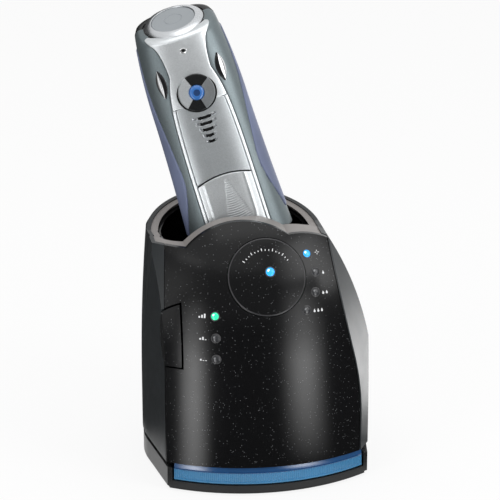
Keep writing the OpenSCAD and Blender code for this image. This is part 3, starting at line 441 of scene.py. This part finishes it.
def under_grip(angle, l):
    """Depth of the groove that the grips lie in."""
    front, rear = grip_angles(min(GRIP_TO, max(GRIP_FROM, l)))
    side = min(abs(angle), 2 * math.pi - abs(angle))
    inside = GRIP_FROM + 0.6 < l < GRIP_TO - 0.6 and front + 0.02 < side < rear - 0.02
    return GRIP_SINK if inside else 0


def patch(name, start, end, l0, l1, materials, by_angle=True, grow=0.3, rounding=0.5,
          across=24, along=60, bow=(0, 0), relief=None, pick=None, body="shaver", end_round=0,
          foot=0):
    """Panel on the body between two sides, which are functions of l, as angles or as distances x.
    bow raises the middle of its lower and upper end, end_round rounds the upper end inwards,
    relief(side, l) lowers the surface, pick(side, l, depth) chooses a material and foot lifts the
    underside."""
    middle = (l0 + l1) / 2
    width = abs(end(middle) - start(middle)) * (half_width(middle) if by_angle else 1)
    us = edge_steps(width, rounding, across)
    ts = edge_steps(l1 - l0, rounding, along)
    outer, inner, marks = [], [], []
    for t in ts:
        for u in us:
            l = l0 + t * (l1 - l0)
            side = start(l) + u * (end(l) - start(l))
            if not by_angle:
                l += (1 - (2 * u - 1) ** 2) * (bow[0] * (1 - t) + bow[1] * t)
            angle = side if by_angle else angle_at(side, l)
            drop = max(round_over(min(u, 1 - u) * width, rounding),
                       round_over(min(t, 1 - t) * (l1 - l0), rounding))
            sunk = relief(side, l) if relief else 0
            shoulder = round_over((1 - t) * (l1 - l0), end_round)
            outer.append(SHAVER @ skin(angle, l, grow - drop - sunk - shoulder))
            inner.append(SHAVER @ skin(angle, l, foot - SHELL_T - shoulder))
            marks.append((side, l, sunk))
    points, faces = closed_shell(len(ts), len(us), outer, inner)
    slots = None
    if pick:
        slots = [0] * len(faces)
        for f in range((len(ts) - 1) * (len(us) - 1)):
            rows = [marks[v] for v in faces[f]]
            slots[f] = pick(*[sum(row[k] for row in rows) / 4 for k in range(3)])
    return mesh_object(name, points, faces, materials, body, slots)


# ---- docked shaver ----
def shaver_shells(materials):
    """Back shell, side panels and grips, which make the outline of the shaver."""
    back = patch("shaver_back_shell", lambda l: angle_of_depth(BACK_Y, l),
                 lambda l: 2 * math.pi - angle_of_depth(BACK_Y, l), NECK, BODY_END,
                 [materials["shaver_black"]], grow=0, rounding=0.8, across=60,
                 relief=under_grip, end_round=3)
    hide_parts("shaver_back")
    for side, name in ((-1, "left"), (1, "right")):
        panel = patch("shaver_side_" + name, lambda l: side * angle_at(face_half(l) + SEAM, l),
                      lambda l: side * (angle_of_depth(BACK_Y, l) - BACK_GAP), NECK, BODY_END,
                      [materials["shaver_steel_grey"]], grow=0,
                      rounding=0.6, across=32, relief=under_grip, end_round=3.5)
        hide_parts("shaver_side_panels")
        grip = patch("shaver_grip_pad_" + name, lambda l: side * grip_angles(l)[0],
                     lambda l: side * grip_angles(l)[1], GRIP_FROM, GRIP_TO,
                     [materials["grip_blue_grey"]], grow=0.5, rounding=1.2,
                     across=20)
        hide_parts("shaver_grip_" + name)


def slot_half(i):
    """Half length of a slot under the control ring, counted from the ring."""
    return SLOT_HALF - SLOT_SHRINK * i


def slot_depth(x, l):
    """Depth of the arched slots under the control ring."""
    depth = 0
    for i in range(SLOTS):
        centre = CONTROL_L - SLOT_FIRST - SLOT_PITCH * i + SLOT_BOW * (x / slot_half(i)) ** 2
        inside = min(slot_half(i) - abs(x), SLOT_W - abs(l - centre))
        depth = max(depth, SLOT_DEEP * soft_step(inside, 0.15, 0.35))
    return depth


def slot_shade_and_highlight(x, l, depth):
    """Material of the slots: painted shade in the middle, where the slot is black, and painted
    highlights at both ends, where it is bright brushed metal.
    """
    if depth < 0.3:
        return 0
    row = round((CONTROL_L - SLOT_FIRST - l) / SLOT_PITCH)
    return 2 if abs(x) > 0.6 * slot_half(row) else 1


def cover_depth(x, l):
    """Fan of fine ripples and the raised arch round it, on the trimmer cover."""
    away = math.hypot(x - FAN_X, FAN_L - l)
    turn = math.degrees(math.atan2(x - FAN_X, FAN_L - l))
    fan = (soft_step(turn, FAN_LEFT, 3) * soft_step(-turn, -FAN_RIGHT, 3)
           * soft_step(away, 1.5, 2) * soft_step(-away, -FAN_R, 3))
    ripple = FAN_DEEP * (0.5 - 0.5 * math.cos(2 * math.pi * away / FAN_PITCH)) * fan
    arch = ((abs(x) / ARCH_HALF) ** 4 + (abs(min(l, ARCH_L) - ARCH_L) / ARCH_H) ** 4) ** 0.25
    return ripple - 0.3 * soft_step(ARCH_W - abs(arch - 1) * ARCH_HALF, 0, 0.8)


def shaver_face_parts(materials):
    """Silver face with its rails, the slider under the control ring and the trimmer cover."""
    silver, slate = materials["shaver_silver"], materials["shaver_slate"]
    face = patch("shaver_face_plate", lambda l: -face_half(l), face_half, SLIDER_TOP + SEAM,
                 BODY_END, [silver], by_angle=False, across=40, end_round=2.5)
    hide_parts("shaver_face")
    for side, name in ((-1, "left"), (1, "right")):
        patch("shaver_rail_" + name, lambda l: side * (face_half(l) - RAIL_W),
              lambda l: side * face_half(l), NECK, SLIDER_TOP + SEAM / 2, [silver],
              by_angle=False, rounding=0.3, across=6)

    def inner_half(l):
        return face_half(l) - RAIL_W - SEAM

    # the slots take black as painted shade in their middles and bright brushed metal as painted
    # highlights at their ends
    slider = patch("shaver_slider_panel", lambda l: -inner_half(l), inner_half,
                   SLIDER_BOTTOM + 2 * SEAM, SLIDER_TOP,
                   [slate, materials["shaver_black"], materials["ring_brushed"]],
                   by_angle=False, grow=0.4, across=66, along=140, bow=(SLIDER_BOW, 1),
                   relief=slot_depth, pick=slot_shade_and_highlight)
    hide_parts("shaver_slider")
    cover = patch("shaver_trimmer_lid", lambda l: -inner_half(l), inner_half, NECK,
                  SLIDER_BOTTOM - SEAM, [silver], by_angle=False, grow=0.35,
                  across=60, along=140, bow=(0, SLIDER_BOW), relief=cover_depth)
    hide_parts("shaver_trimmer_cover")


def face_loop(name, centre_l, profile, material, sides=72):
    """Ring that lies on the middle of the face, from a closed profile [(radius, height), ...]."""
    points = [SHAVER @ skin(angle_at(x, centre_l + y), centre_l + y, height)
              for r, height in profile for x, y in circle(r, sides)]
    return mesh_object(name, points, ring_faces(len(profile), sides), [material], "shaver")


def on_control():
    """Place in the middle of the control ring, with Z out of the face."""
    seat = Matrix.Translation((0, -half_depth(CONTROL_L) - CONTROL_PROUD, CONTROL_L))
    return SHAVER @ seat @ Matrix.Rotation(math.radians(90), 4, "X")


DIAL_TOP, DIAL_BOTTOM = (38, 111), (226, 286)           # black wedges, degrees from the right


def dial_sector(angle, row):
    """Silver at the left, grey at the right, black wedges above and below."""
    if any(first < angle < last for first, last in (DIAL_TOP, DIAL_BOTTOM)):
        return 1
    return 0 if DIAL_TOP[1] <= angle <= DIAL_BOTTOM[0] else 2


def lens_half(l):
    """Half width of a key, which is as slim as a lens."""
    return max(0.08, math.sqrt(max(0, KEY_LENS ** 2 - (l - KEY_L) ** 2)) - KEY_LENS + KEY_HALF)


def shaver_controls(materials):
    """Control ring with the power button in it, the two keys and the small reset hole."""
    chrome, black = materials["ring_chrome"], materials["shaver_black"]
    dial = turned("shaver_control_dial",
                  [(CONTROL_BORE, -2.4), (CONTROL_BORE, 0.7), (4.8, 1), (6.5, 0.85), (9.2, 1.05),
                   (10, 1), (CONTROL_R, 0.5), (CONTROL_R, -2.4), (CONTROL_BORE, -2.4)],
                  on_control(), [materials["shaver_silver"], black, materials["dial_grey"]],
                  "shaver", pick=dial_sector)
    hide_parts("shaver_control_ring")
    seam_in, seam_out = CONTROL_R - 0.2, CONTROL_R + 0.8
    face_loop("shaver_control_seam", CONTROL_L,
              [(seam_in, -0.8), (seam_in, 0.5), (seam_out, 0.5), (seam_out, -0.8)], black)
    dish_row = 5
    button = turned("shaver_power_dome",
                    [(POWER_R, -3.2), (POWER_R, 0.9), (4, 1.3), (3.4, 1.6), (2.5, 1.8),
                     (1.9, 1.85), (1.6, 1.7), (0.9, 1.75), (0.02, 1.8)], on_control(),
                    [materials["button_blue"], materials["button_deep"]], "power_button",
                    pick=lambda angle, row: 1 if row >= dish_row else 0, sharp=60)
    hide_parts("shaver_power_button")
    for side, name in ((-1, "left"), (1, "right")):
        # The side of each key cap towards the middle of the face is black: painted shadow along the
        # key's edge. The rest of the cap is chrome.
        key = patch("shaver_key_cap_" + name, lambda l: side * KEY_X - lens_half(l),
                    lambda l: side * KEY_X + lens_half(l), KEY_L - KEY_REACH, KEY_L + KEY_REACH,
                    [chrome, black], by_angle=False, grow=1.25, rounding=0.3,
                    across=12, along=40, body="key_" + name, foot=KEY_FOOT,
                    relief=lambda x, l: 0.75 * ((x - side * KEY_X) / lens_half(l)) ** 2,
                    pick=lambda x, l, depth: 1 if abs(x) < KEY_X - 0.25 * lens_half(l) else 0)
        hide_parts("shaver_key_" + name)
    face_loop("shaver_reset_rim", RESET_L,
              [(RESET_R, 0.2), (RESET_R, 0.45), (1.5, 0.5), (1.9, 0.35), (1.9, 0.1)], chrome,
              sides=32)
    # The reset hole is a black disc inside its rim: painted shade standing in for the dark inside of
    # the hole.
    edge = RESET_R + 0.05
    face_loop("shaver_reset_hole", RESET_L, [(0.02, 0.1), (0.02, 0.34), (edge, 0.34), (edge, 0.1)],
              black, sides=32)


def shaver_end_cap(materials):
    """Bright sloping ring and milky disc on the free end."""
    place = (SHAVER @ Matrix.Translation((0, 0, BODY_END))
             @ Matrix.Rotation(math.atan(SLANT), 4, "X") @ Matrix.Translation((0, 0.8, -END_DEEP)))

    def end_part(name, profile, finish):
        return turned(name, profile, place, [materials[finish]], "shaver", sides=128)

    ring = end_part("shaver_end_bezel",
                    [(DISC_R, 0.2), (DISC_R, 4.5), (DISC_R + 0.2, 4.75), (13.4, 4.75), (16.6, 3.4),
                     (END_R, 2.9), (END_R, 0.2), (DISC_R, 0.2)], "ring_brushed")
    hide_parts("shaver_end_ring")
    end_part("shaver_end_seam",
             [(END_R, 0.3), (END_R, 2.5), (END_R + 0.8, 2.5), (END_R + 0.8, 0.3), (END_R, 0.3)],
             "shaver_black")
    disc = end_part("shaver_end_lens",
                    [(0.02, 1), (DISC_R - 0.1, 1), (DISC_R - 0.1, 4.1), (12.3, 4.4), (5.4, 4.5),
                     (5.2, 4.3), (4.8, 4.3), (4.6, 4.52), (0.02, 4.55)], "disc_pale")
    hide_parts("shaver_end_disc")


# ---- front of the station ----
PANEL_R, PANEL_Y, ROLL_Z, ROLL_R = 108, 43, 78, 111     # the front panel's bow and its roll back
START_X, START_Z, START_R, START_PROUD = -1.8, 128, 21.8, 0.2
START_LIGHT, START_LIGHT_R = (1.8, 2.6), 2.4
TICKS, TICK_ARC_R, TICK_FROM, TICK_SPAN = 15, 14.6, 144, 108        # angles in degrees
TICK_HALF, TICK_LONG, TICK_SHORT = 0.22, 1.5, 0.8
LEVEL_X, LEVEL_Z, LEVEL_PITCH = -31.6, 83.7, 12
PROGRAM_X, PROGRAM_Z, PROGRAM_R, PROGRAM_ANGLE, PROGRAM_STEP = 1, 124.5, 25.3, 34.5, 25.9
LENS_R, COLLAR_W = 2.1, 0.65
MARK_PROUD, MARK_T, MARK_FOOT = 0.08, 0.3, -1.2         # printed marks beside the lights
BAR_X, BAR_PITCH, BAR_W, BAR_LOW, BAR_FIRST, BAR_STEP = -9.2, 1.5, 0.9, 0.35, 1, 0.7
STAR_X, STAR_IN, STAR_OUT, STAR_HALF = 6.2, 0.5, 1.6, 0.28
DROP_X, DROP_PITCH, DROP_SIZE, DROP_STEPS = 4.6, 2.25, 1.25, 14
CARTRIDGE_R, CARTRIDGE_HALF, CARTRIDGE_T = 106.9, 54.5, 3.2         # grip of the cartridge
CARTRIDGE_FOOT, CARTRIDGE_LEDGE, CARTRIDGE_TOP = 6.9, 14, 17.5
RIB_PITCH, RIB_DEEP = 1.15, 0.4


def front_radius(z):
    """Distance of the front from the axis of its bow."""
    if z <= ROLL_Z:
        return PANEL_R
    return PANEL_R - ROLL_R + math.sqrt(ROLL_R ** 2 - (z - ROLL_Z) ** 2)


def front_tilt(z):
    """Angle by which the front leans back."""
    return math.asin(max(0, z - ROLL_Z) / ROLL_R)


def on_front(x, z):
    """Place on the bowed front, with X to the right, Y up along it and Z outwards."""
    r = front_radius(z)
    return (Matrix.Translation((0, PANEL_Y, 0)) @ Matrix.Rotation(math.asin(x / r), 4, "Z")
            @ Matrix.Translation((0, -r, z))
            @ Matrix.Rotation(math.radians(90) - front_tilt(z), 4, "X"))


def onto_front(place, u, v, height):
    """Point of the front that lies u and v beside a place on it, raised by a height."""
    outwards = (place.to_3x3() @ Vector((0, 0, 1))).normalized()
    point = place @ Vector((u, v, 0))
    for _ in range(8):
        point -= outwards * (math.hypot(point.x, point.y - PANEL_Y) - front_radius(point.z))
    return point + outwards * height


def program_place(i):
    """Place of a light in the arc at the right of the start button, the clean light first."""
    a = math.radians(PROGRAM_ANGLE - i * PROGRAM_STEP)
    return on_front(PROGRAM_X + PROGRAM_R * math.cos(a),
                    PROGRAM_Z + PROGRAM_R * math.sin(a) * math.cos(front_tilt(START_Z)))


def front_mark(name, place, outline, material, body="housing", height=MARK_PROUD):
    """Printed mark: a flat raised shape, its outline [(u, v), ...] beside a place on the front."""
    count = len(outline)
    points = [onto_front(place, u, v, h) for h in (height - MARK_T, height) for u, v in outline]
    faces = [tuple(range(count)), tuple(range(count, 2 * count))]
    faces += [(k, (k + 1) % count, count + (k + 1) % count, count + k) for k in range(count)]
    return mesh_object(name, points, faces, [material], body)


def bar(u, v, width, height):
    return [(u, v), (u + width, v), (u + width, v + height), (u, v + height)]


def drop_outline(u, v, size):
    """Outline of a drop with its tip up."""
    points = []
    for x, y in circle(1, DROP_STEPS):
        up = max(0, y)
        points.append((u + 0.5 * size * x * (1 - 0.45 * up),
                       v + 0.5 * size * y + 0.55 * size * up ** 3))
    return points


def light(name, place, replaced, materials, slot, body="housing", radius=LENS_R, lit=False):
    """Domed light in a fine collar, with a painted highlight in its upper left: a small disc that
    glows white on a lit light and is grey on a dark one.
    """
    profile = [(radius, -0.8), (radius, 0.1), (0.9 * radius, 0.32), (0.6 * radius, 0.55),
               (0.3 * radius, 0.64), (0.02, 0.66)]
    lens = turned(name, profile, place, [materials[slot]], body, sides=40, sharp=60)
    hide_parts(replaced)
    outer = radius + COLLAR_W
    turned(name + "_collar",
           [(radius, -0.6), (radius, 0.12), (radius + 0.2, 0.26), (radius + 0.5, 0.2), (outer, 0),
            (outer, -0.6), (radius, -0.6)],
           place, [materials["collar_black"]], body, sides=40, sharp=60)
    # painted highlight: a small disc in the dome's upper left, glowing white on a lit light and grey
    # on a dark one
    turned(name + "_painted_highlight",
           [(0.02, 0.5), (0.32 * radius, 0.5), (0.3 * radius, 0.62), (0.02, 0.66)],
           place @ Matrix.Translation((-0.35 * radius, 0.3 * radius, -0.02)),
           [materials["glint_white" if lit else "glint_grey"]], body, sides=20, sharp=60)


def level_lights(materials):
    """Three lights at the left, the lowest for empty, each with rising bars beside it."""
    levels = (("level_light_empty", "lens_grey"), ("level_light_low", "lens_grey"),
              ("level_light_high", "lens_green"))
    for i, (node, slot) in enumerate(levels):
        place = on_front(LEVEL_X, LEVEL_Z + i * LEVEL_PITCH)
        light(node + "_dome", place, node, materials, slot, lit=slot == "lens_green")
        for k in range(len(levels)):
            height = BAR_FIRST + BAR_STEP * k if k <= i else BAR_LOW
            outline = bar(BAR_X + BAR_PITCH * k, MARK_FOOT, BAR_W, height)
            front_mark(f"level_mark_{i}_{k}", place, outline, materials["print_white"])


def program_lights(materials):
    """Clean light with a star and three program lights with one to three drops, at the right."""
    white = materials["print_white"]
    clean = program_place(0)
    light("clean_light_dome", clean, "clean_light", materials, "lens_blue", lit=True)
    for k, tip in enumerate(circle(1, 4)):
        across = (-tip[1] * STAR_HALF, tip[0] * STAR_HALF)
        ray = [(STAR_X + STAR_IN * tip[0] - across[0], STAR_IN * tip[1] - across[1]),
               (STAR_X + STAR_OUT * tip[0], STAR_OUT * tip[1]),
               (STAR_X + STAR_IN * tip[0] + across[0], STAR_IN * tip[1] + across[1])]
        front_mark(f"clean_mark_{k}", clean, ray, white)
    for i in (1, 2, 3):
        place = program_place(i)
        light(f"program_light_{i}", place, "program_lights", materials, "lens_grey")
        for k in range(i):
            front_mark(f"program_mark_{i}_{k}", place,
                       drop_outline(DROP_X + DROP_PITCH * k, MARK_FOOT, DROP_SIZE), white)


def start_parts(materials):
    """Rim and light of the start button, and the arc of ticks that is printed on it."""
    place = on_front(START_X, START_Z)
    sides = 120
    inner, outer = START_R - 0.8, START_R - 0.02
    profile = [(inner, -0.5), (inner + 0.05, START_PROUD), (START_R - 0.35, START_PROUD + 0.15),
               (outer, START_PROUD), (outer, -0.5)]
    points = [onto_front(place, u, v, h) for r, h in profile for u, v in circle(r, sides)]
    mesh_object("start_button_rim", points, ring_faces(len(profile), sides),
                [materials["rim_grey"]], "start_button", sharp=60)
    seat = place @ Matrix.Translation((*START_LIGHT, START_PROUD))
    light("start_light_dome", seat, "start_light_lens", materials, "lens_blue", body="start_button",
          radius=START_LIGHT_R, lit=True)
    for k in range(TICKS):
        a = math.radians(TICK_FROM - TICK_SPAN * k / (TICKS - 1))
        along, out = (-math.sin(a), math.cos(a)), (math.cos(a), math.sin(a))
        length = TICK_LONG if k % 3 == 0 else TICK_SHORT
        corners = [((TICK_ARC_R + t * length) * out[0] + s * TICK_HALF * along[0],
                    (TICK_ARC_R + t * length) * out[1] + s * TICK_HALF * along[1])
                   for s, t in ((-1, 0), (1, 0), (1, 1), (-1, 1))]
        front_mark(f"start_tick_{k}", place, corners, materials["print_white"], body="start_button",
                   height=START_PROUD + MARK_PROUD)


def cartridge_front(materials):
    """Clear blue grip of the cartridge: fine upright ribs under a smooth dark ledge."""
    foot, ledge, top = CARTRIDGE_FOOT, CARTRIDGE_LEDGE, CARTRIDGE_TOP
    # height, distance behind the front and share of the ribs
    rows = [(foot, 3, 0), (foot, 0.6, 0), (foot + 0.5, 0.1, 0), (foot + 1.1, 0.1, 0),
            (foot + 1.3, 0.35, 1), (ledge - 0.5, 0.35, 1), (ledge - 0.3, 0.1, 0), (ledge, 0, 0),
            (ledge + 0.3, 0.5, 0), (top - 1.2, 0.7, 0), (top - 0.4, 1, 0), (top, 1.6, 0),
            (top, 3, 0)]
    first_dark_row = 6
    rib_shape = (0, 0.5, 1, 0.5)
    span = math.asin(CARTRIDGE_HALF / CARTRIDGE_R)
    steps = len(rib_shape) * round(2 * span * CARTRIDGE_R / RIB_PITCH)

    def at(k, inset, z):
        a = -span + 2 * span * k / steps
        r = CARTRIDGE_R - inset
        return Vector((r * math.sin(a), PANEL_Y - r * math.cos(a), z))

    outer = [at(k, inset + RIB_DEEP * ribbed * rib_shape[k % len(rib_shape)], z)
             for z, inset, ribbed in rows for k in range(steps + 1)]
    inner = [at(k, CARTRIDGE_T, z) for z, _, _ in rows for k in range(steps + 1)]
    points, faces = closed_shell(len(rows), steps + 1, outer, inner)
    slots = [1 if k // steps >= first_dark_row else 0 for k in range((len(rows) - 1) * steps)]
    slots += [0] * (len(faces) - len(slots))
    grip = mesh_object("cartridge_grip_ribbed", points, faces,
                       [materials["blue_clear"], materials["blue_deep"]], "cartridge",
                       slots)
    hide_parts("cartridge_grip")


# ---- stage ----
def stage_mesh(name, corners, faces, material):
    """Mesh that belongs to the stage, its corners in metres."""
    mesh = bpy.data.meshes.new(name)
    mesh.from_pydata(corners, [], faces)
    mesh.materials.append(material)
    obj = bpy.data.objects.new(name, mesh)
    bpy.context.scene.collection.objects.link(obj)
    return obj


def seen_rays(tree):
    """1 for rays from the camera and for those that metal or glass sends on."""
    path = add_node(tree, "ShaderNodeLightPath").outputs
    seen = path["Is Camera Ray"]
    for kind in ("Is Glossy Ray", "Is Transmission Ray"):
        either = add_node(tree, "ShaderNodeMath", {0: seen, 1: path[kind]}, operation="MAXIMUM")
        seen = either.outputs[0]
    return seen


FLOOR_HALF = 4
LAMP_AWAY = 1.1
FLOOR_WHITE = 0.87       # share of plain white that is seen in the floor, the rest is shaded
WORLD_LIGHT = 0.62


def make_floor():
    paint = Paint("floor", Base_Color=(0.95, 0.95, 0.95, 1), Roughness=1, Specular_IOR_Level=0)
    white = paint.add("ShaderNodeEmission")
    share = paint.add("ShaderNodeMath", {0: seen_rays(paint.tree), 1: FLOOR_WHITE},
                      operation="MULTIPLY")
    paint.show(paint.add("ShaderNodeMixShader", {0: share.outputs[0], 1: paint.shader.outputs[0],
                                                 2: white.outputs[0]}))
    corners = [(x * FLOOR_HALF, y * FLOOR_HALF, 0) for x, y in ((-1, -1), (1, -1), (1, 1), (-1, 1))]
    stage_mesh("floor", corners, [(0, 1, 2, 3)], paint.material)


def make_world():
    """Even light all round, which looks plain white."""
    world = bpy.data.worlds.new("world")
    bpy.context.scene.world = world
    world.use_nodes = True
    tree = world.node_tree
    lit = tree.nodes["Background"]
    lit.inputs["Color"].default_value = (1, 1, 1, 1)
    lit.inputs["Strength"].default_value = WORLD_LIGHT
    seen = add_node(tree, "ShaderNodeBackground", {"Color": (1, 1, 1, 1)})
    mix = add_node(tree, "ShaderNodeMixShader", {0: seen_rays(tree), 1: lit.outputs[0],
                                                 2: seen.outputs[0]})
    tree.links.new(mix.outputs[0], tree.nodes["World Output"].inputs["Surface"])


def make_lamp(name, place, aim, width, height, power):
    """Rectangular lamp turned towards a point, which the camera doesn't see."""
    lamp = bpy.data.lights.new(name, "AREA")
    lamp.shape = "RECTANGLE"
    lamp.size = width
    lamp.size_y = height
    lamp.energy = power
    obj = bpy.data.objects.new(name, lamp)
    bpy.context.scene.collection.objects.link(obj)
    obj.location = place
    obj.rotation_euler = (Vector(place) - Vector(aim)).to_track_quat("Z", "Y").to_euler()
    obj.visible_camera = False


def around(angle, distance, height):
    """Point beside the object, its angle counted from the front towards the right."""
    a = math.radians(angle)
    return (distance * math.sin(a), -distance * math.cos(a), height)


CARD_STEPS = 24
CARD_FROM, BAND_FAR, CARD_FAR, FLAG_FAR = 0.085, 0.4, 0.41, 0.42    # distances from the middle
FLAG_Z, CARD_Z = 0.0005, 0.001


def reflector(name, from_angle, to_angle, path, strength, dim=None):
    """Card that only shows as a reflection, along a path of (distance, height, share of the
    strength). With a dim value the card fades to that value at both sides."""
    points, glow = [], []
    low = dim or 0
    for distance, height, share in path:
        for k in range(CARD_STEPS + 1):
            t = k / CARD_STEPS
            points.append(around(from_angle + (to_angle - from_angle) * t, distance, height))
            side = 1 if dim is None else math.sin(math.pi * t) ** 2
            glow.append(low + max(0, strength * share - low) * side)
    paint = Paint(name)
    level = paint.add("ShaderNodeAttribute", attribute_name="glow").outputs["Fac"]
    paint.show(paint.add("ShaderNodeEmission", {"Strength": level}))
    card = stage_mesh(name, points, grid_faces(len(path), CARD_STEPS + 1), paint.material)
    card.data.attributes.new("glow", "FLOAT", "POINT").data.foreach_set("value", glow)
    card.visible_camera = False
    card.visible_diffuse = False
    card.visible_transmission = False
    card.visible_shadow = False


def make_lights():
    """Three lamps, dark flags that keep the black parts black, and cards for their highlights."""
    middle = (0, 0, 0.12)
    make_lamp("lamp_top", (0, -0.3, 1.6), middle, 1.2, 1.2, 6)
    make_lamp("lamp_left", around(-50, LAMP_AWAY, 0.5), middle, 0.4, 0.8, 2.5)
    make_lamp("lamp_right", around(45, LAMP_AWAY, 0.6), middle, 0.5, 0.9, 4)
    dark, side_dark, shaver_dark = 0.1, 0.06, 0.3
    reflector("flag_front", -75, 85,
              [(CARD_FROM, FLAG_Z, 1), (FLAG_FAR, FLAG_Z, 1), (FLAG_FAR, 0.1, 1),
               (FLAG_FAR, 0.2, 3), (FLAG_FAR, 0.4, 3)], dark)
    reflector("flag_left", -175, -75,
              [(CARD_FROM, FLAG_Z, 1), (FLAG_FAR, FLAG_Z, 1), (FLAG_FAR, 0.5, 1)], side_dark)
    reflector("band_left", -50, -28,
              [(0.1, CARD_Z, 0.6), (0.2, CARD_Z, 1), (0.36, CARD_Z, 0.9), (BAND_FAR, 0.05, 0.6),
               (BAND_FAR, 0.16, 0.3), (BAND_FAR, 0.24, 0)], 9, dark)
    reflector("band_right", 10, 42,
              [(0.1, CARD_Z, 0), (0.16, CARD_Z, 0.5), (0.24, CARD_Z, 1), (0.37, CARD_Z, 0.9),
               (BAND_FAR, 0.06, 0.6), (BAND_FAR, 0.2, 0.35), (BAND_FAR, 0.3, 0)], 8, dark)
    reflector("card_rear_right", 100, 170, [(CARD_FROM, CARD_Z, 1), (0.5, CARD_Z, 1)], 5)
    reflector("card_shaver", 8, 75,
              [(CARD_FAR, 0.19, 0), (CARD_FAR, 0.24, 1), (CARD_FAR, 0.5, 1), (CARD_FAR, 0.6, 0)],
              4.5, shaver_dark)
    reflector("card_shaver_left", -85, -30,
              [(CARD_FAR, 0.04, 0), (CARD_FAR, 0.12, 1), (CARD_FAR, 0.3, 1), (CARD_FAR, 0.4, 0)],
              1.1, shaver_dark)


bpy.context.scene.view_settings.view_transform = "Standard"
make_camera()
make_world()
make_lights()
make_floor()
finishes = make_materials()
dress_nodes(finishes)
for build in (shaver_shells, shaver_face_parts, shaver_controls, shaver_end_cap, level_lights,
              program_lights, start_parts, cartridge_front):
    build(finishes)
